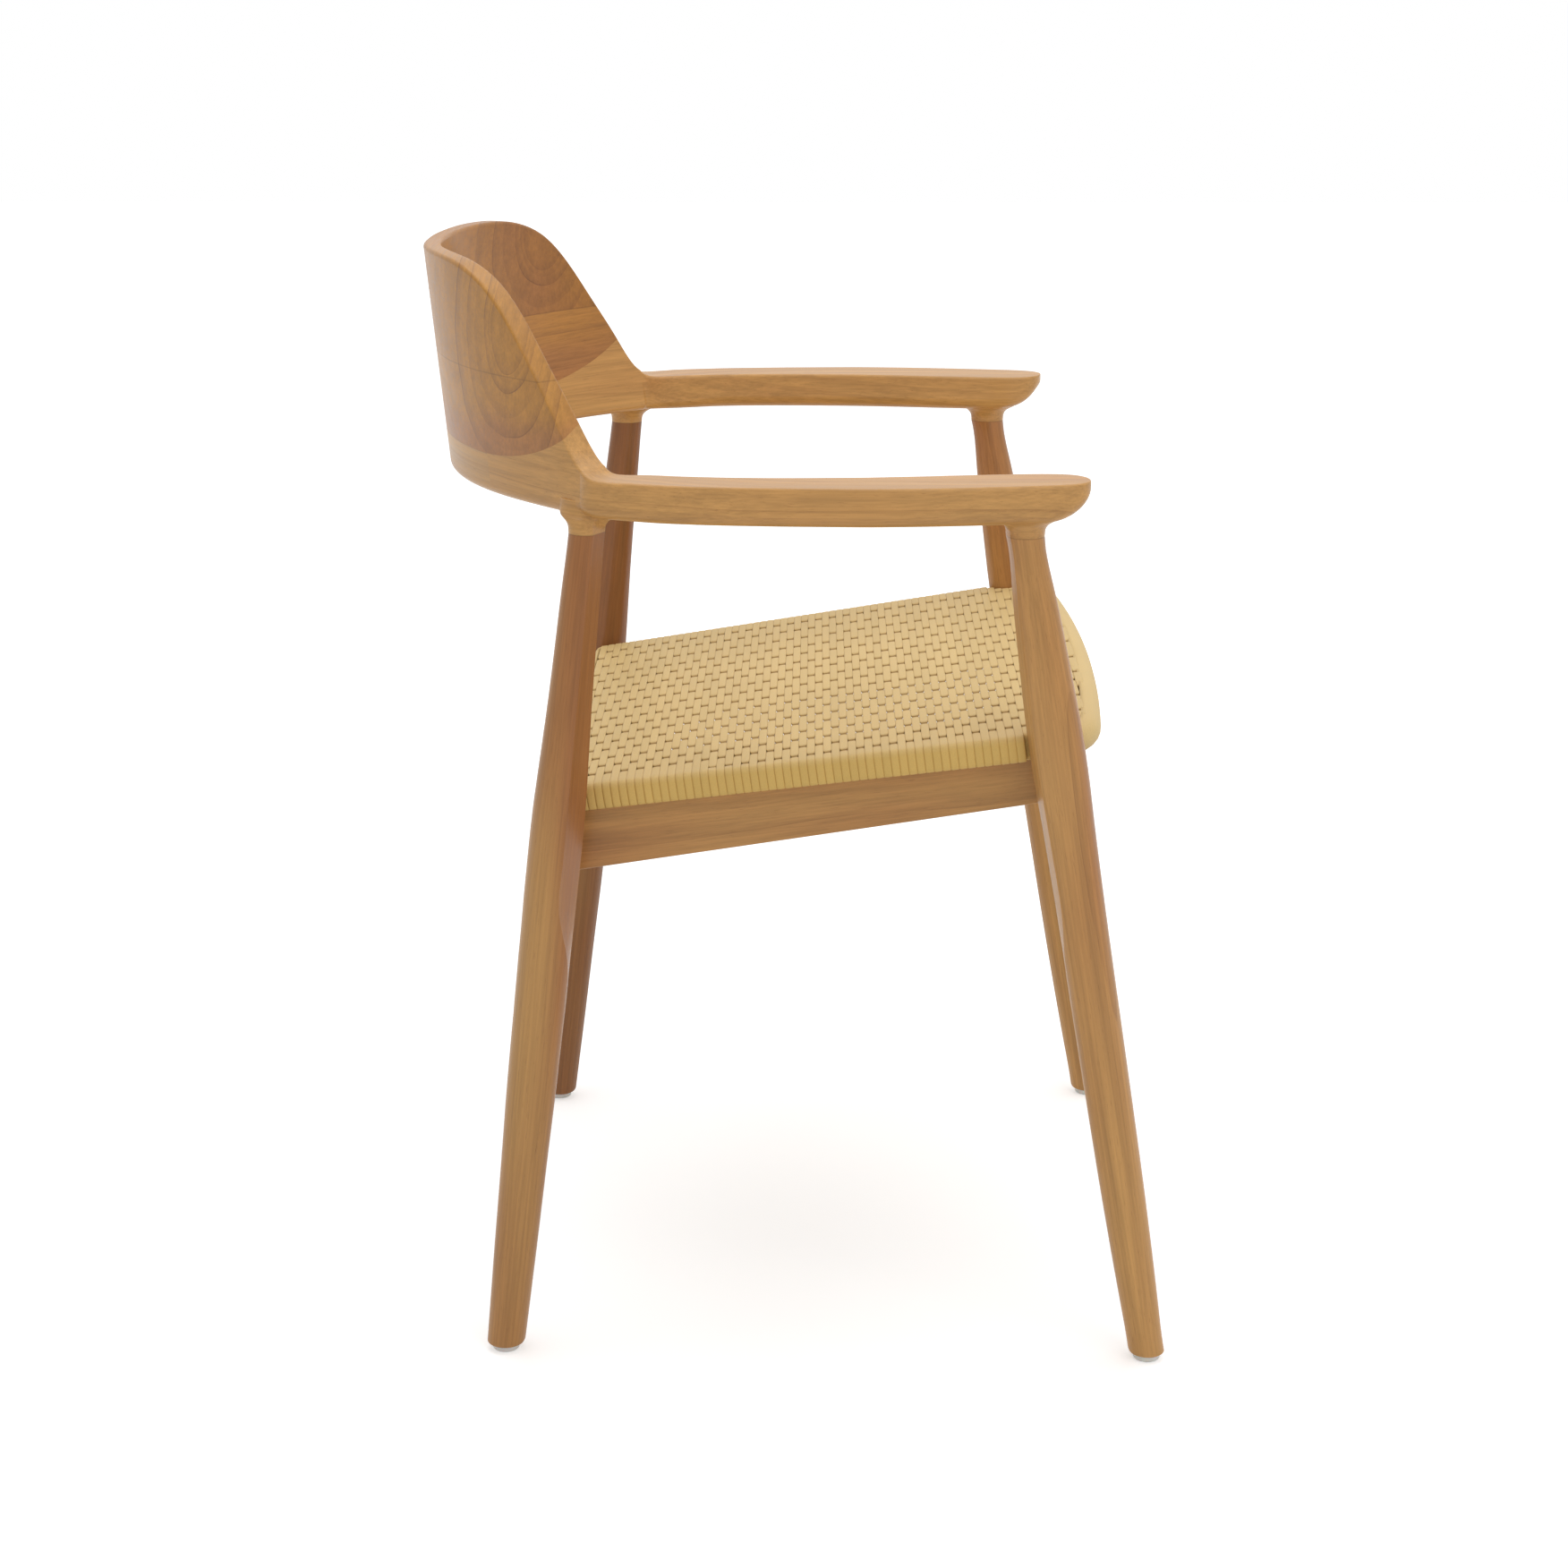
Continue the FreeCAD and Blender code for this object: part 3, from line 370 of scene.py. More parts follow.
def wood_figure():
    """Growth rings, fibres and pores of hardwood, for a vector whose z runs along the grain."""
    if "wood_figure" in bpy.data.node_groups:
        return bpy.data.node_groups["wood_figure"]
    colour, number = "NodeSocketColor", "NodeSocketFloat"
    group, source, result = new_group("wood_figure", (
        ("Vector", "NodeSocketVector"), ("Light", colour), ("Red", colour), ("Dark", colour),
        ("Ring Width", number), ("Rings", number), ("Redness", number), ("Streaks", number),
        ("Seed", number)),
        (("Color", colour), ("Height", number), ("Dullness", number)))
    given = source.outputs
    vector, seed, dark = given["Vector"], given["Seed"], given["Dark"]

    ring = product(group, growth_rings(group, vector, seed, given["Ring Width"]), given["Rings"], True)
    fibre = stretched_noise(group, vector, FIBRES, 3.0, seed).outputs[0]
    bundle = stretched_noise(group, vector, BUNDLES, 2.0, seed).outputs[0]
    pore = between(group, stretched_noise(group, vector, PORES, 1.0, seed).outputs[0], 0.62, 0.74)
    patch = stretched_noise(group, vector, PATCHES, 2.0, seed).outputs[0]
    redness = between(group, total(group, patch, given["Redness"]), 0.4, 0.75)
    streak = stretched_noise(group, vector, STREAKS, 3.0, total(group, seed, 7.0)).outputs[0]
    streak = product(group, between(group, streak, 0.56, 0.7), given["Streaks"], True)

    body = blend_colour(group, redness, given["Light"], given["Red"])
    for share, most in ((ring, 0.75), (streak, 0.7), (pore, 0.3)):
        body = blend_colour(group, product(group, share, most), body, dark)
    grainy = total(group, between(group, fibre, 0.3, 0.7, 0.90, 1.07),
                   between(group, bundle, 0.3, 0.7, -0.07, 0.07))
    tint = joined(group, "ShaderNodeCombineColor", (grainy, grainy, grainy))
    feed(group, result.inputs["Color"], blend_colour(group, 1.0, body, tint, "MULTIPLY"))
    feed(group, result.inputs["Height"], calc(group, "SUBTRACT", product(group, fibre, 0.5), pore))
    feed(group, result.inputs["Dullness"], between(group, fibre, 0.3, 0.7, 0.44, 0.6))
    return group


def seam_shade(tree, height, level, colour):
    """A thin dark glue line at a level, worked over a colour."""
    away = calc(tree, "ABSOLUTE", calc(tree, "SUBTRACT", height, level))
    line = between(tree, away, 0.0002, 0.0007, 0.3, 0.0)
    return blend_colour(tree, line, colour, (0.12, 0.055, 0.02, 1.0))


def curved_grain(tree, x, y, z, pith):
    """A vector whose z follows the back's curve, and the arms in front of it."""
    behind = calc(tree, "SUBTRACT", y, BOW_MIDDLE_Y)
    ahead = calc(tree, "MINIMUM", behind, 0.0)
    back = calc(tree, "MAXIMUM", behind, 0.0)
    out = calc(tree, "SQRT", total(tree, calc(tree, "POWER", x, 2.0), calc(tree, "POWER", back, 2.0)))
    along = product(tree, calc(tree, "ARCTAN2", x, back), BOW_RADIUS)
    along = calc(tree, "SUBTRACT", along, product(tree, ahead, calc(tree, "SIGN", x)))
    return joined(tree, "ShaderNodeCombineXYZ",
                  (calc(tree, "SUBTRACT", out, pith[1]), calc(tree, "SUBTRACT", z, pith[2]), along))


def wood_material(name, grain, pith, light, red, dark, ring_width, rings, redness, streaks, seed, seams=(),
                  far_shade=None, blush=None, stretch=None, curved=False):
    """Oiled wood whose grain runs along a direction, with the middle of its rings on a line.

    Seams are the levels of glue lines. Far shade is painted shade that darkens the far side of the chair,
    blush changes the redness between two levels, stretch makes the rings oval, and curved grain follows the
    back.
    """
    material, tree, shader = new_material(name)
    turn = Vector(grain).normalized().rotation_difference(Vector((0, 0, 1))).to_matrix()
    here = object_place(tree)
    mapping = add_node(tree, "ShaderNodeMapping")
    set_inputs(mapping, {"Rotation": turn.to_euler(), "Location": -(turn @ Vector(pith))})
    feed(tree, mapping.inputs["Vector"], here)
    figure = add_node(tree, "ShaderNodeGroup", node_tree=wood_figure())
    axes = add_node(tree, "ShaderNodeSeparateXYZ")
    feed(tree, axes.inputs[0], here)
    x, y, z = axes.outputs
    if blush:
        start, end, change = blush
        redness = between(tree, z, start, end, redness, redness + change)
    place = curved_grain(tree, x, y, z, pith) if curved else mapping.outputs[0]
    if stretch:
        sizes = [between(tree, x, -0.12, 0.12, near, far) for near, far in zip(*stretch)]
        sizes = joined(tree, "ShaderNodeCombineXYZ", (*sizes, 1.0))
        place = vector_calc(tree, "MULTIPLY", place, sizes).outputs[0]
    values = (place, (*light, 1.0), (*red, 1.0), (*dark, 1.0), ring_width, rings, redness, streaks, seed)
    for socket, value in zip(figure.inputs, values):
        feed(tree, socket, value)
    colour = figure.outputs["Color"]
    # Painted shade: the colour darkens towards the far side of the chair
    if far_shade:
        tint = joined(tree, "ShaderNodeCombineColor",
                      [between(tree, x, -0.2, 0.22, 1.0, share) for share in far_shade])
        colour = blend_colour(tree, 1.0, colour, tint, "MULTIPLY")
    for level in seams:
        colour = seam_shade(tree, z, level, colour)
    feed(tree, shader.inputs["Base Color"], colour)
    feed(tree, shader.inputs["Roughness"], figure.outputs["Dullness"])
    set_inputs(shader, {"Specular IOR Level": 0.05, "Coat Weight": 0.5, "Coat Roughness": 0.25})
    add_bump(tree, shader, figure.outputs["Height"], 0.35, 0.0002)
    return material


def tinted(colour, red, green, blue):
    """A colour with each part scaled."""
    return tuple(min(part * scale, 1.0) for part, scale in zip(colour, (red, green, blue)))


class CHAIR_OT_finish_back(bpy.types.Operator):
    """Give the three boards of the back their wood"""
    bl_idname = "chair.finish_back"
    bl_label = "Finish Back"

    def execute(self, context):
        wood = context.scene.chair_wood
        light, red, dark, width = wood.light, wood.red, wood.dark, wood.ring_width
        centre, grain = (-0.28, 0.2, 0.76), (1.0, 0.0, 0.04)
        upright, level = (0.42, 1.0), (1.1, 0.14)
        # The top and middle boards carry painted shade towards the far side of the chair
        dress(["back_top_board"], wood_material(
            "teak_top_board", grain, centre, tinted(light, 0.83, 0.68, 0.42), red, dark, width * 0.8,
            rings=1.0, redness=0.0, streaks=0.2, seed=11.0, seams=(TOP_JOINT_Z,),
            far_shade=(0.80, 0.74, 0.72), stretch=(upright, upright)))
        dress(["back_middle_board"], wood_material(
            "teak_middle_board", grain, centre, tinted(light, 0.85, 0.70, 0.44), red, dark, width * 0.8,
            rings=1.1, redness=0.0, streaks=0.3, seed=11.0, seams=(TOP_JOINT_Z,),
            far_shade=(0.98, 0.95, 0.92), blush=(0.705, 0.668, 0.3), stretch=(upright, level)))
        dress(["back_bow"], wood_material(
            "teak_bow", (1.0, 0.0, 0.0), (0.0, PITH_RADIUS, 0.58), tinted(light, 0.92, 0.88, 0.86), red,
            dark, width, rings=0.9, redness=-0.07, streaks=0.25, seed=19.0, seams=(BOW_JOINT_Z,),
            curved=True))
        return {"FINISHED"}


class CHAIR_OT_finish_arms(bpy.types.Operator):
    """Give the two arms their wood"""
    bl_idname = "chair.finish_arms"
    bl_label = "Finish Arms"

    def execute(self, context):
        wood = context.scene.chair_wood
        for name, side in SIDES:
            dress(["arm_" + name], wood_material(
                "teak_arm_" + name, (0.0, 1.0, 0.0), (0.0, PITH_RADIUS, 0.52),
                tinted(wood.light, 0.97, 0.90, 0.86), tinted(wood.red, 1.1, 1.05, 1.0), wood.dark,
                wood.ring_width, rings=0.85, redness=-0.07, streaks=0.25, seed=23.0 + side * 4.0,
                seams=(LEG_JOINT_Z,), curved=True))
        return {"FINISHED"}


class CHAIR_OT_finish_legs(bpy.types.Operator):
    """Give each leg its own board's wood"""
    bl_idname = "chair.finish_legs"
    bl_label = "Finish Legs"

    def execute(self, context):
        wood = context.scene.chair_wood
        for (end, name), (level, redness, streaks, seed) in LEG_TONES.items():
            side = dict(SIDES)[name]
            way, (foot_x, foot_y), (neck_x, neck_y) = LEG_LINES[end]
            foot = Vector((side * foot_x, foot_y, 0.0))
            neck = Vector((side * neck_x, neck_y, LEG_JOINT_Z))
            pith = (foot + neck) / 2 + Vector((side * 0.035, way * 0.05, 0.0))
            node = "leg_%s_%s" % (end, name)
            dress([node], wood_material(
                "teak_" + node, neck - foot, pith, tinted(wood.light, level, level * 0.94, level * 0.92),
                tinted(wood.red, level * 0.95, level * 0.85, level * 0.8), wood.dark, wood.ring_width,
                rings=0.6, redness=redness, streaks=streaks, seed=seed, seams=(LEG_JOINT_Z,),
                blush=(0.44, 0.3, -0.6 * redness)))
        return {"FINISHED"}


class CHAIR_OT_finish_rails(bpy.types.Operator):
    """Give the rails and the hidden frame their wood"""
    bl_idname = "chair.finish_rails"
    bl_label = "Finish Rails"

    def execute(self, context):
        wood = context.scene.chair_wood
        light, red, dark, width = wood.light, wood.red, wood.dark, wood.ring_width
        for name, side in SIDES:
            low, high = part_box("side_rail_" + name)
            pith = ((low.x + high.x) / 2 + side * 0.05, 0.0, high.z)
            dress(["side_rail_" + name], wood_material(
                "teak_side_rail_" + name, (0.0, 1.0, -0.14), pith, tinted(light, 0.92, 0.88, 0.86), red,
                dark, width, rings=0.45, redness=0.05, streaks=0.3, seed=53.0 + side))
        dress(["front_rail", "back_rail"], wood_material(
            "teak_cross_rails", (1.0, 0.0, 0.0), (0.0, 0.0, 0.34), tinted(light, 0.95, 0.92, 0.9), red,
            dark, width, rings=0.5, redness=0.02, streaks=0.3, seed=59.0))
        hidden = [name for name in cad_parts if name.startswith(("seat_frame", "corner_block"))]
        dress(hidden + ["board_dowels", "bow_dowels"], wood_material(
            "plain_hardwood", (0.0, 1.0, 0.0), (0.0, 0.0, 0.3), (0.62, 0.43, 0.24), (0.55, 0.35, 0.18),
            (0.38, 0.22, 0.11), width * 0.7, rings=0.4, redness=-0.05, streaks=0.1, seed=61.0))
        return {"FINISHED"}


class CHAIR_OT_finish_fittings(bpy.types.Operator):
    """Give the glides, nails and screws their nylon and steel"""
    bl_idname = "chair.finish_fittings"
    bl_label = "Finish Fittings"

    def execute(self, context):
        nylon, tree, shader = new_material("moulded_nylon")
        cloud = stretched_noise(tree, object_place(tree), (90.0, 90.0, 160.0), 2.0, 2.0).outputs[0]
        shade = blend_colour(tree, cloud, (0.66, 0.65, 0.60, 1.0), (0.80, 0.79, 0.75, 1.0))
        feed(tree, shader.inputs["Base Color"], shade)
        feed(tree, shader.inputs["Roughness"], between(tree, cloud, 0.2, 0.8, 0.32, 0.5))
        set_inputs(shader, {"Subsurface Weight": 0.25, "Subsurface Scale": 0.003})
        dress([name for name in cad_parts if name.startswith("glide_") and name != "glide_nails"], nylon)

        steel, tree, shader = new_material("zinc_steel")
        spangle = add_node(tree, "ShaderNodeTexVoronoi")
        spangle.inputs["Scale"].default_value = 900.0
        feed(tree, spangle.inputs["Vector"], object_place(tree))
        away = spangle.outputs["Distance"]
        shade = blend_colour(tree, away, (0.60, 0.60, 0.58, 1.0), (0.72, 0.72, 0.72, 1.0))
        feed(tree, shader.inputs["Base Color"], shade)
        feed(tree, shader.inputs["Roughness"], between(tree, away, 0.0, 1.0, 0.3, 0.45))
        shader.inputs["Metallic"].default_value = 1.0
        dress(["glide_nails", "block_screws", "seat_screws"], steel)
        return {"FINISHED"}


# Outline of the seat, in its own frame

def seat_matrix(seat):
    """The seat's own frame in the chair."""
    return (Matrix.Translation((0.0, seat.setback, seat.height))
            @ Matrix.Rotation(-math.atan(seat.rake), 4, "X"))


def bend_points(first, control, last, count):
    """Points on a bend between two tangent lines."""
    points = []
    for step in range(count + 1):
        share = step / count
        points.append(first.lerp(control, share).lerp(control.lerp(last, share), share))
    return points


def seat_outline(seat):
    """The left half of the seat's outline, from the middle of the front to the middle of the back."""
    corner_y = seat.front + seat.bow
    back_y = seat.back - seat.back_corner

    def side_x(y):
        return seat.half_width - seat.taper * y

    corner_x, back_x = side_x(corner_y), side_x(seat.back)
    front_x = corner_x - seat.front_corner

    def on_bow(x):
        return Vector((x, seat.front + seat.bow * (x / corner_x) ** 2))

    on_front = on_bow(front_x)
    slope = 2 * seat.bow * front_x / corner_x ** 2
    pole = Vector((corner_x, on_front.y + slope * (corner_x - front_x)))
    on_side = Vector((side_x(corner_y + seat.front_corner), corner_y + seat.front_corner))
    back_side, on_back = Vector((side_x(back_y), back_y)), Vector((back_x - seat.back_corner, seat.back))
    steps = 16
    points = [on_bow(front_x * step / steps) for step in range(steps)]
    points += bend_points(on_front, pole, on_side, 14)
    points += bend_points(back_side, Vector((back_x, seat.back)), on_back, 6)
    points.append(Vector((0.0, seat.back)))
    return points


def reach_at(points, y, least=0.0):
    """The largest x at which a line of points passes a level, or a default."""
    found = [first.x + (last.x - first.x) * (y - first.y) / (last.y - first.y)
             for first, last in zip(points, points[1:])
             if min(first.y, last.y) <= y <= max(first.y, last.y) and abs(last.y - first.y) > 1e-9]
    return max(found, default=least)


def leg_limit(seat, place):
    """A function that gives how far out the seat may reach beside the left front leg."""
    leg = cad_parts["leg_front_left"].data
    tree = BVHTree.FromPolygons([vertex.co for vertex in leg.vertices],
                                [face.vertices[:] for face in leg.polygons])
    outward = place.to_3x3() @ Vector((1, 0, 0))
    inside_x, ray_length, no_limit = 0.1, 0.3, 1.0

    def limit(y):
        found = [no_limit]
        for level in (0.0, -seat.thickness / 2, -seat.thickness):
            for aside in (-seat.pitch * 0.15, 0.0, seat.pitch * 0.15):
                start = place @ Vector((inside_x, y + aside, level))
                hit = tree.ray_cast(start, outward, ray_length)[0]
                if hit is not None:
                    found.append(hit.x - seat.leg_gap)
        return min(found)
    return limit


def nose_line(seat, place, inset):
    """The front outline drawn in by an inset, from the middle to just inside the left front leg."""
    points = seat_outline(seat)
    limit = leg_limit(seat, place)
    into_leg = 0.004
    line = []
    for before, here, after in zip([Vector((-points[1].x, points[1].y))] + points, points, points[1:]):
        run = (after - before).normalized()
        if here.y > seat.front + seat.bow + seat.front_corner or here.x > limit(here.y) + into_leg:
            break
        line.append(here + Vector((-run.y, run.x)) * inset)
    return line


def front_drop(seat, place):
    """A function that gives how far the rounded front has fallen at a point."""
    line = nose_line(seat, place, 0.0)
    tall = seat.thickness / 2

    def drop(x, y):
        if y > line[-1].y + seat.nose_roll:
            return 0.0
        here = Vector((abs(x), y))
        inset = min((here - point).length for point in line)
        for first, last in zip(line, line[1:]):
            run = last - first
            share = (here - first).dot(run) / run.length_squared
            if 0 < share < 1:
                inset = min(inset, (here - first - run * share).length)
        gone = min(max(1.0 - inset / seat.nose_roll, 0.0), 1.0)
        return tall * (1.0 - math.sqrt(1.0 - gone * gone))
    return drop


def strand_places(seat):
    """The strands' places from front to back."""
    first = seat.front + seat.nose_band + seat.pitch / 2
    count = int((seat.back - seat.pitch * 0.9 - first) / seat.pitch) + 1
    return [first + seat.pitch * index for index in range(count)]


def woven_reach(seat, place):
    """A function that gives a strand's half length, and whether it rolls over the side there."""
    points = seat_outline(seat)
    limit = leg_limit(seat, place)
    inner = nose_line(seat, place, seat.nose_band)

    def reach(y):
        over = min(reach_at(points, y), limit(y))
        under = reach_at(inner, y, over)
        clear_of_nose = y > max(point.y for point in inner)
        return (over, True) if clear_of_nose else (min(under, over), False)
    return reach


def warp_x(row, y):
    """Where a warp row crosses a strand."""
    start, drift = WARP_ROWS[row]
    return start + drift * (y - WARP_MIDDLE_Y)


def has_room(x, half, rolls):
    """Whether a warp row fits on a strand, clear of its ends."""
    return abs(x) <= half - (0.0105 if rolls else 0.006)


# Making of the cords

def with_neighbours(points):
    """Each point between the one before and the one after it, or itself at an end."""
    return zip([points[0]] + points[:-1], points, points[1:] + [points[-1]])


def push_edges(work, edges, matrix):
    """The vertices and edges that a row of edges is extruded to."""
    grown = bmesh.ops.extrude_edge_only(work, edges=edges)["geom"]
    verts = [part for part in grown if isinstance(part, bmesh.types.BMVert)]
    edges = [part for part in grown if isinstance(part, bmesh.types.BMEdge)]
    bmesh.ops.transform(work, matrix=matrix, verts=verts)
    return verts, edges


def sweep(stations, painted_edge_shade=0.0):
    """A closed flat cord through stations, each a matrix for the unit section and its layer values.

    The section is a square with round corners, and the painted edge shade is how much painted shade darkens
    its edges, where neighbouring strands meet.
    """
    work = bmesh.new()
    layers = [work.verts.layers.float.new(name) for name in CORD_LAYERS]
    square = Matrix.Rotation(math.pi / 4, 4, "Z") @ Matrix.Scale(math.sqrt(2.0), 4)
    bmesh.ops.create_circle(work, cap_ends=True, segments=4, radius=1.0, matrix=square)
    bmesh.ops.bevel(work, geom=work.verts[:], offset=0.46, segments=3, profile=0.5, affect="VERTICES")
    bmesh.ops.transform(work, matrix=stations[0][0], verts=work.verts)
    verts, edges = work.verts[:], work.edges[:]
    edge_start, edge_width = 0.78, 0.22
    for number, (here, *values) in enumerate(stations):
        if number:
            verts, edges = push_edges(work, edges, here @ stations[number - 1][0].inverted())
        back, rib = here.inverted(), values[-1]
        for vert in verts:
            for layer, value in zip(layers, values):
                vert[layer] = value
            edge = min(max((abs((back @ vert.co).x) - edge_start) / edge_width, 0.0), 1.0)
            # Painted shade along the cord's edges, where neighbouring strands meet, less where it rolls
            # over the sides
            vert[layers[0]] += painted_edge_shade * edge * edge * (1.0 - 0.6 * rib)
    bmesh.ops.contextual_create(work, geom=edges)
    bmesh.ops.recalc_face_normals(work, faces=work.faces)
    return work


def section_matrix(centre, across, along, half_width, half_thickness):
    """The unit section turned to face along a path, wide across it."""
    along = along.normalized()
    across = (across - along * across.dot(along)).normalized()
    normal = along.cross(across)
    turn = Matrix((across * half_width, normal * half_thickness, along * half_width)).transposed().to_4x4()
    return Matrix.Translation(centre) @ turn


def finish_mesh(name, works, place, material):
    """One object from several bmeshes, put in place, riding on the chair."""
    mesh = bpy.data.meshes.new(name)
    whole = bmesh.new()
    for work in works:
        work.to_mesh(mesh)
        work.free()
        whole.from_mesh(mesh)
    bmesh.ops.transform(whole, matrix=place, verts=whole.verts)
    whole.to_mesh(mesh)
    whole.free()
    mesh.shade_smooth()
    mesh.materials.append(material)
    piece = new_object(name, mesh)
    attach(piece, BODY)
    return piece


def cord_material(seat, name, flecks):
    """Flat synthetic cord with painted shade: dark from a layer in the gaps where it dives between its
    neighbours, darker and more golden on the sides.
    """
    if name in bpy.data.materials:
        return bpy.data.materials[name]
    material, tree, shader = new_material(name)
    painted_shade, tone, rib = (add_node(tree, "ShaderNodeAttribute", attribute_name=layer).outputs["Fac"]
                        for layer in CORD_LAYERS)
    here = object_place(tree)
    fleck = stretched_noise(tree, here, flecks, 3.0, 5.0).outputs[0]
    cloud = stretched_noise(tree, here, (14.0, 14.0, 14.0), 2.0, 9.0).outputs[0]
    level = total(tree, tone, between(tree, fleck, 0.3, 0.7, -0.035, 0.035))
    level = total(tree, level, between(tree, cloud, 0.3, 0.7, -0.02, 0.02))
    level = total(tree, level, 1.0)
    # Painted shade on the sides: the same cord drawn darker and more golden where it rolls over them
    body = blend_colour(tree, rib, (*seat.cord_colour, 1.0), (*seat.side_shade_colour, 1.0))
    body = blend_colour(tree, 1.0, body, joined(tree, "ShaderNodeCombineColor", (level, level, level)),
                        "MULTIPLY")
    # Painted shade from the layer: in the dips, along the cord's edges, on the warp and under the bands
    body = blend_colour(tree, product(tree, painted_shade, 1.0, True), body, (*seat.shade_colour, 1.0))
    feed(tree, shader.inputs["Base Color"], body)
    feed(tree, shader.inputs["Roughness"], between(tree, fleck, 0.3, 0.7, 0.5, 0.62))
    shader.inputs["Specular IOR Level"].default_value = 0.3
    add_bump(tree, shader, fleck, 0.2, 0.0001)
    return material


def strand_end(seat, half, rolls):
    """A strand's left end, rolled over the side and back underneath, or tucked under the nose band."""
    if not rolls:
        # A tucked end turns to painted shade as it dives under the nose band
        return [(half, -0.0011, CORD_FLAT, 0.0, 0.0, 1.0), (half + 0.0022, -0.0021, 0.0007, 0.5, 0.0, 1.0)]
    bend_x, bend = half - SIDE_ROLL, SIDE_ROLL - CORD_ROUND
    low = CORD_ROUND - seat.thickness
    end = [(bend_x - 0.0045, -CORD_FLAT, CORD_FLAT, 0.0), (bend_x, -CORD_ROUND, CORD_ROUND, 0.05)]
    for degrees in (30, 60, 90):
        turn = math.radians(degrees)
        end.append((bend_x + bend * math.sin(turn), -SIDE_ROLL + bend * math.cos(turn), CORD_ROUND,
                    degrees / 90))
    for degrees in (0, 30, 60, 90):
        turn = math.radians(degrees)
        end.append((bend_x + bend * math.cos(turn), low + bend - bend * math.sin(turn), CORD_ROUND, 1.0))
    end.append((half - seat.return_depth, low, CORD_ROUND, 1.0))
    return [(x, z, thick, 0.0, rib, 1.0) for x, z, thick, rib in end]


def strand_path(seat, index, y, half, rolls):
    """A strand's points from side to side: x, z, half thickness, share of the dip that sets its painted
    shade, rib and share of the width.
    """
    path = []
    for row in range(len(WARP_ROWS)):
        x = warp_x(row, y)
        if not has_room(x, half, rolls):
            continue
        if (index + row) % 2:
            path.append((x, -CORD_FLAT + 0.00012, CORD_FLAT, 0.0, 0.0, 1.0))
            continue
        for away, share, narrow in DIP_PROFILE:
            path.append((x + away, -CORD_FLAT - DIP_DEPTH * share, CORD_FLAT - DIP_THINNING * share,
                         share, 0.0, narrow))
    path = [point for point in path if abs(point[0]) < half - (0.0098 if rolls else 0.0015)]
    end = strand_end(seat, half, rolls)
    return [(-x, *rest) for x, *rest in reversed(end)] + path + end


class CHAIR_OT_weave_strands(bpy.types.Operator):
    """Lay the strands across the seat, over and under the warp and round its sides"""
    bl_idname = "chair.weave_strands"
    bl_label = "Weave Strands"

    def execute(self, context):
        seat = context.scene.chair_seat
        place = seat_matrix(seat)
        reach, drop = woven_reach(seat, place), front_drop(seat, place)
        chance = random.Random(4)
        aside = seat.pitch * 0.4
        works = []
        for index, y in enumerate(strand_places(seat)):
            path = strand_path(seat, index, y, *reach(y))
            tone = chance.uniform(-0.03, 0.03)
            stations = []
            for before, (x, z, thick, painted_shade, rib, narrow), after in with_neighbours(path):
                along = Vector((after[0] - before[0], 0.0, after[1] - before[1]))
                tilt = (drop(x, y - aside) - drop(x, y + aside)) / (aside * 2)
                matrix = section_matrix(Vector((x, y, z - drop(x, y))), Vector((0, 1, tilt)), along,
                                        seat.strand_width / 2 * narrow, thick)
                # Painted shade where the strand dives under the warp; the sweep adds painted shade along
                # its edges
                stations.append((matrix, min(painted_shade * 2.2, 1.0) ** 1.5, tone, rib))
            works.append(sweep(stations, 0.4))
        material = cord_material(seat, "flat_cord", CORD_FLECKS)
        middle = len(works) // 2
        for name, part in (("woven_strands_front", works[:middle]), ("woven_strands_rear", works[middle:])):
            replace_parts(finish_mesh(name, part, place, material), "woven_seat")
        return {"FINISHED"}


class CHAIR_OT_weave_warp(bpy.types.Operator):
    """Run the warp cords from front to back through the strands"""
    bl_idname = "chair.weave_warp"
    bl_label = "Weave Warp"

    def execute(self, context):
        seat = context.scene.chair_seat
        place = seat_matrix(seat)
        reach, drop = woven_reach(seat, place), front_drop(seat, place)
        strands = [(y, *reach(y)) for y in strand_places(seat)]
        under, over = -0.0026, -0.0017
        works = []
        for row in range(len(WARP_ROWS)):
            path = []
            for index, (y, half, rolls) in enumerate(strands):
                x = warp_x(row, y)
                if not has_room(x, half, rolls):
                    continue
                level = under if (index + row) % 2 else over
                for aside in (-0.27, 0.27):
                    there = y + seat.pitch * aside
                    path.append(Vector((x, there, level - drop(x, there))))
            stations = []
            for before, here, after in with_neighbours(path):
                matrix = section_matrix(here, Vector((1, 0, 0)), after - before,
                                        WARP_HALF_WIDTH, WARP_HALF_THICKNESS)
                # The warp cords are painted half in shade all along, as they show only in the gaps between
                # strands
                stations.append((matrix, 0.5, 0.0, 0.0))
            works.append(sweep(stations))
        finish_mesh("woven_warp", works, place, cord_material(seat, "flat_cord", CORD_FLECKS))
        return {"FINISHED"}


def band_profile(seat, depth_on_top, roll):
    """The outside of a band from on top, round the edge and back underneath: inset and level."""
    tall = seat.thickness / 2
    start = math.asin(min(max((roll - depth_on_top) / roll, 0.0), 1.0))
    profile = [(depth_on_top, 0.0)] if depth_on_top > roll else []
    steps = 12
    for step in range(steps + 1):
        turn = start + (math.pi - start) * step / steps
        profile.append((roll - roll * math.sin(turn), -tall + tall * math.cos(turn)))
    profile.append((seat.return_depth, -seat.thickness))
    return profile


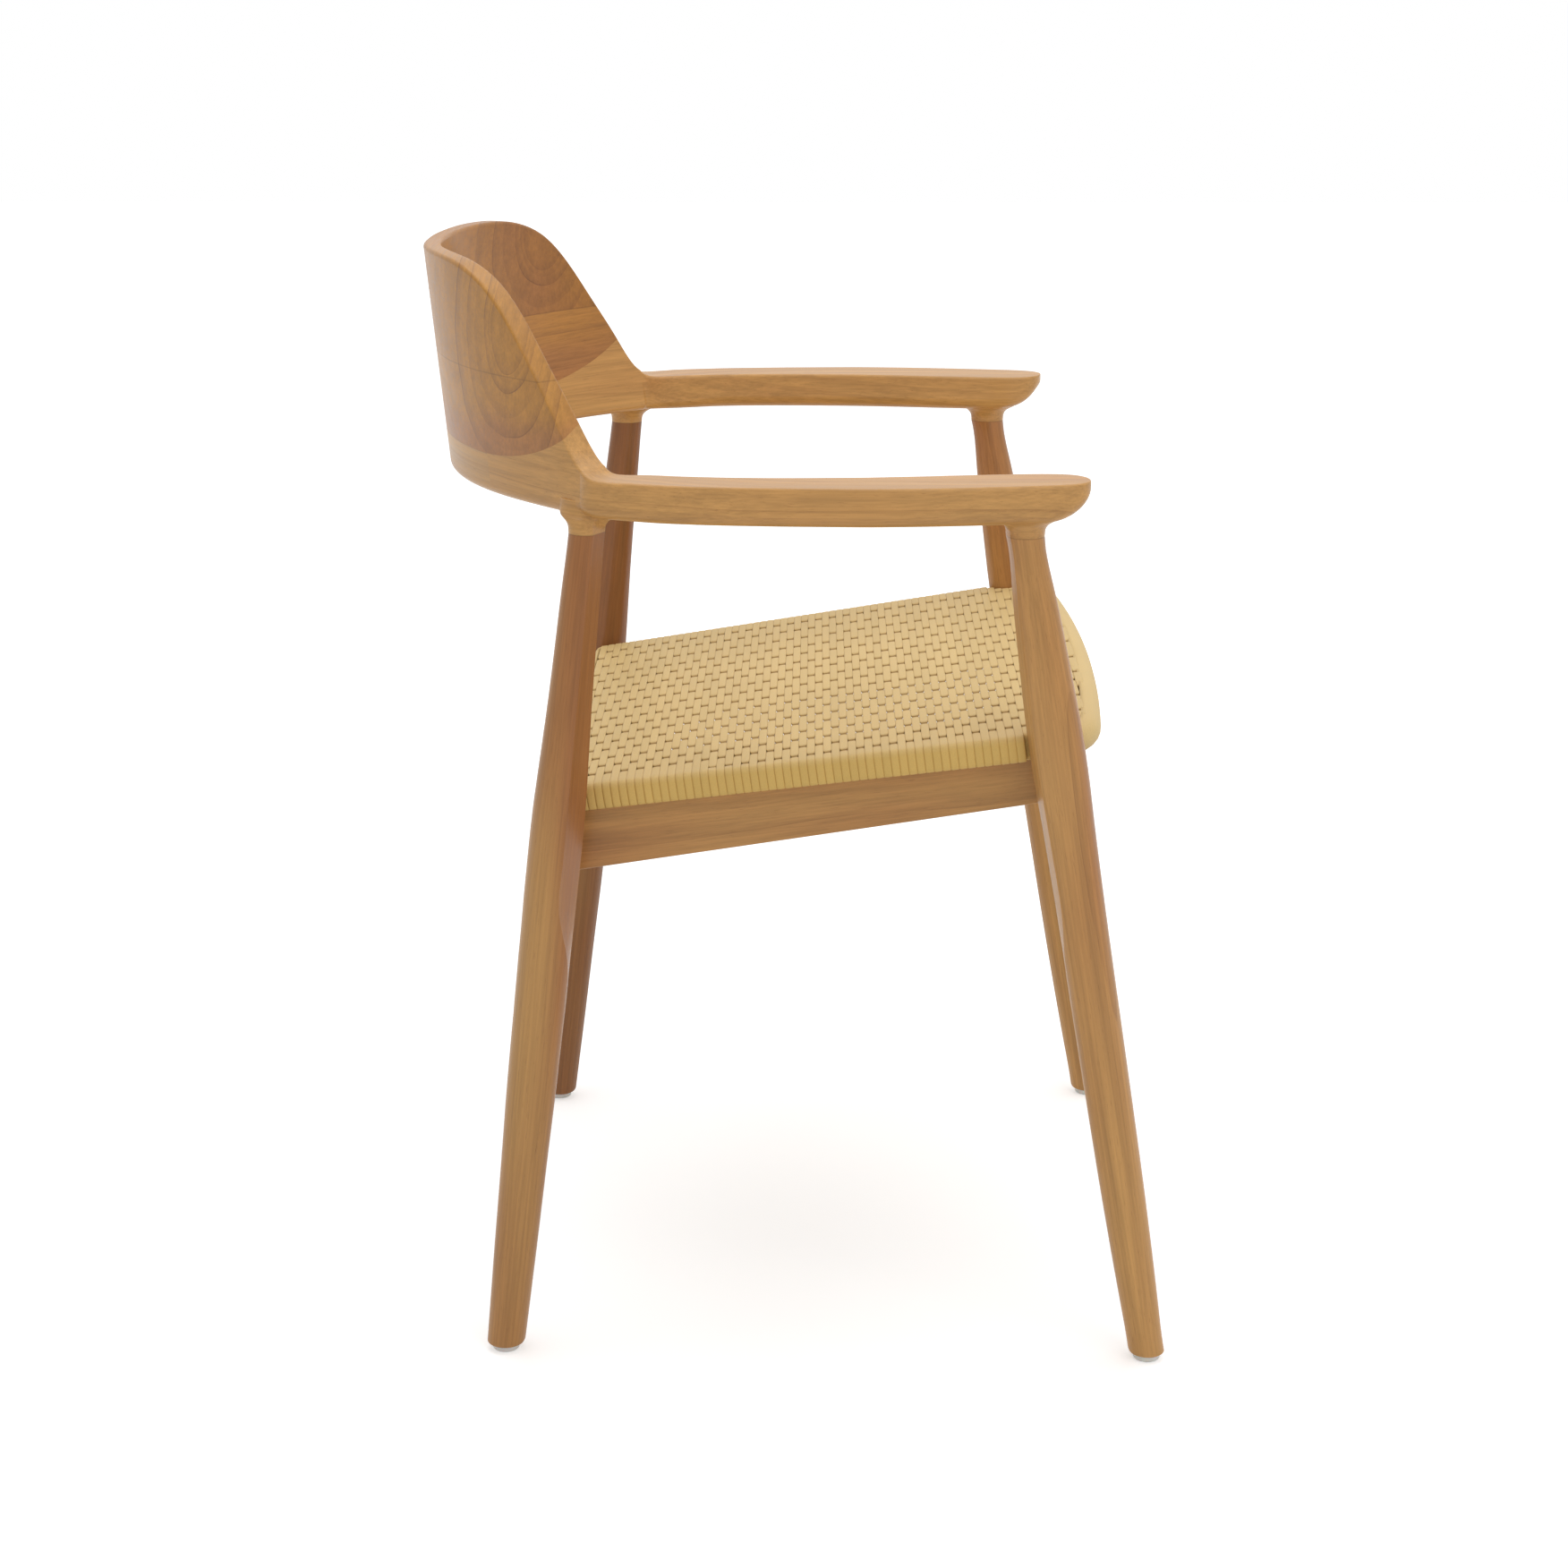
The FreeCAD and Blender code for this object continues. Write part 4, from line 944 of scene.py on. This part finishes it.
def edge_band(name, seat, place, line, profile, swell=0.0):
    """A band of cord that follows an edge line, made from its profile pushed from point to point.

    The line runs from the middle of the edge to one end, and swell is how much deeper the band gets there.
    """
    work = bmesh.new()
    painted_shade, tone = (work.verts.layers.float.new(layer) for layer in CORD_LAYERS[:2])
    swell_start, swell_run = 0.15, 0.09
    frames = []
    whole = [Vector((-point.x, point.y)) for point in reversed(line[1:])] + line
    for before, here, after in with_neighbours(whole):
        run = (after - before).normalized()
        inward = Vector((-run.y, run.x, 0.0))
        outer = min(max((abs(here.x) - swell_start) / swell_run, 0.0), 1.0)
        deep = 1.0 + swell * outer * outer * (3.0 - 2.0 * outer)
        turn = Matrix((inward, Vector((0, 0, deep)), Vector((run.x, run.y, 0.0)))).transposed().to_4x4()
        frames.append(Matrix.Translation((here.x, here.y, 0.0)) @ turn)
    verts = [bmesh.ops.create_vert(work, co=Vector((inset, level, 0.0)))["vert"][0]
             for inset, level in profile]
    edges = [bmesh.ops.contextual_create(work, geom=list(pair))["edges"][0]
             for pair in zip(verts, verts[1:])]
    bmesh.ops.transform(work, matrix=frames[0], verts=verts)
    for before, here in zip(frames, frames[1:]):
        edges = push_edges(work, edges, here @ before.inverted())[1]
    bmesh.ops.recalc_face_normals(work, faces=work.faces)
    if sum(face.normal.z for face in work.faces if face.calc_center_median().z > -0.003) < 0:
        bmesh.ops.reverse_faces(work, faces=work.faces)
    for vert in work.verts:
        # Painted shade on the band's underside
        under = min(max(-vert.co.z / seat.thickness * 2.0 - 1.0, 0.0), 1.0)
        vert[painted_shade] = 0.35 * under * under
        vert[tone] = 0.025
    bmesh.ops.solidify(work, geom=work.faces[:], thickness=CORD_BAND * 2)
    bmesh.ops.recalc_face_normals(work, faces=work.faces)
    finish_mesh(name, [work], place, cord_material(seat, "band_cord", BAND_FLECKS))


class CHAIR_OT_roll_edges(bpy.types.Operator):
    """Wrap the smooth cord band over the nose and the narrow one over the back edge"""
    bl_idname = "chair.roll_edges"
    bl_label = "Roll Edges"

    def execute(self, context):
        seat = context.scene.chair_seat
        place = seat_matrix(seat)
        over_strands = 0.0012
        profile = band_profile(seat, seat.nose_band + over_strands, seat.nose_roll)
        edge_band("nose_band", seat, place, nose_line(seat, place, 0.0), profile, swell=0.12)
        rear = [Vector((-point.x, point.y)) for point in reversed(seat_outline(seat))
                if point.y > seat.back - seat.back_corner * 0.75]
        edge_band("rear_band", seat, place, rear, band_profile(seat, 0.0052, 0.005))
        return {"FINISHED"}


# Stage

def seen_rays(tree):
    """One for rays that the camera, a gloss or a clear surface sees, and nought for those that light."""
    path = add_node(tree, "ShaderNodeLightPath")
    seen = total(tree, path.outputs["Is Camera Ray"], path.outputs["Is Glossy Ray"], True)
    return total(tree, seen, path.outputs["Is Transmission Ray"], True)


def make_floor(stage):
    """A pale floor that glows to white for the camera and keeps the chair's shadow."""
    work = bmesh.new()
    bmesh.ops.create_grid(work, x_segments=1, y_segments=1, size=9.0)
    mesh = bpy.data.meshes.new("floor")
    work.to_mesh(mesh)
    work.free()
    material, tree, shader = new_material("pale_floor")
    set_inputs(shader, {"Base Color": (*stage.floor_colour, 1.0), "Roughness": 0.9,
                        "Specular IOR Level": 0.1, "Emission Color": WHITE})
    far = vector_calc(tree, "LENGTH", object_place(tree)).outputs["Value"]
    glow = between(tree, far, 0.5, 2.2, 0.41, 0.62)
    feed(tree, shader.inputs["Emission Strength"], product(tree, seen_rays(tree), glow))
    mesh.materials.append(material)
    new_object("floor", mesh)


def make_sky(scene, stage):
    """An even sky that lights the chair softly and looks white."""
    world = bpy.data.worlds.new("even_sky")
    scene.world = world
    world.use_nodes = True
    tree = world.node_tree
    background = tree.nodes["Background"]
    background.inputs["Color"].default_value = WHITE
    strength = add_node(tree, "ShaderNodeMix", data_type="FLOAT")
    feed(tree, strength.inputs["Factor"], seen_rays(tree))
    feed(tree, strength.inputs[2], stage.sky)
    feed(tree, strength.inputs[3], 1.0)
    feed(tree, background.inputs["Strength"], strength.outputs[0])


def make_lamps(stage):
    """Two broad lamps: name, place, aim, size and share of the power."""
    lamps = (("overhead", (0.2, -0.1, 2.6), (0.0, 0.0, 0.4), 2.6, 1.0),
             ("window", (-2.6, -1.6, 2.2), (0.0, 0.0, 0.5), 2.2, 0.55))
    for name, spot, aim, size, share in lamps:
        light = bpy.data.lights.new(name, "AREA")
        light.shape = "SQUARE"
        light.size = size
        light.energy = stage.lamp * share
        lamp = new_object(name, light)
        lamp.location = spot
        lamp.rotation_euler = (Vector(aim) - Vector(spot)).to_track_quat("-Z", "Y").to_euler()


def make_camera(scene, stage):
    """The camera at the chair's right side."""
    lens = bpy.data.cameras.new("viewer")
    lens.lens = stage.lens
    lens.sensor_width = 36.0
    lens.shift_x = stage.shift
    camera = new_object("viewer", lens)
    camera.location = stage.eye
    camera.rotation_euler = Euler((math.pi / 2 - stage.pitch, 0.0, stage.yaw - math.pi / 2))
    scene.camera = camera


class CHAIR_OT_set_stage(bpy.types.Operator):
    """Set the floor, the soft light and the camera"""
    bl_idname = "chair.set_stage"
    bl_label = "Set Stage"

    def execute(self, context):
        scene, stage = context.scene, context.scene.chair_stage
        scene.view_settings.view_transform = "Standard"
        make_floor(stage)
        make_sky(scene, stage)
        make_lamps(stage)
        make_camera(scene, stage)
        return {"FINISHED"}


class CHAIR_PT_panel(bpy.types.Panel):
    """Lists the pieces of the armchair's looks"""
    bl_idname = "CHAIR_PT_panel"
    bl_label = "Garden Armchair"
    bl_space_type = "VIEW_3D"
    bl_region_type = "UI"
    bl_category = "Chair"

    def draw(self, context):
        for settings in (context.scene.chair_wood, context.scene.chair_seat, context.scene.chair_stage):
            box = self.layout.box()
            for key in settings.__annotations__:
                box.prop(settings, key)
        for operator in OPERATORS:
            self.layout.operator(operator.bl_idname)


OPERATORS = (CHAIR_OT_finish_back, CHAIR_OT_finish_arms, CHAIR_OT_finish_legs, CHAIR_OT_finish_rails,
             CHAIR_OT_finish_fittings, CHAIR_OT_weave_strands, CHAIR_OT_weave_warp, CHAIR_OT_roll_edges,
             CHAIR_OT_set_stage)
SETTINGS = (ChairSeatSettings, ChairWoodSettings, ChairStageSettings)


def register():
    """Add the classes and the scene's settings."""
    for kind in SETTINGS + OPERATORS + (CHAIR_PT_panel,):
        bpy.utils.register_class(kind)
    bpy.types.Scene.chair_seat = bpy.props.PointerProperty(type=ChairSeatSettings)
    bpy.types.Scene.chair_wood = bpy.props.PointerProperty(type=ChairWoodSettings)
    bpy.types.Scene.chair_stage = bpy.props.PointerProperty(type=ChairStageSettings)


def unregister():
    """Take the settings and the classes away again."""
    del bpy.types.Scene.chair_stage
    del bpy.types.Scene.chair_wood
    del bpy.types.Scene.chair_seat
    for kind in reversed(SETTINGS + OPERATORS + (CHAIR_PT_panel,)):
        bpy.utils.unregister_class(kind)


def main():
    """Make every piece in order."""
    register()
    bpy.ops.chair.finish_back()
    bpy.ops.chair.finish_arms()
    bpy.ops.chair.finish_legs()
    bpy.ops.chair.finish_rails()
    bpy.ops.chair.finish_fittings()
    bpy.ops.chair.weave_strands()
    bpy.ops.chair.weave_warp()
    bpy.ops.chair.roll_edges()
    bpy.ops.chair.set_stage()


if __name__ == "__main__":
    main()
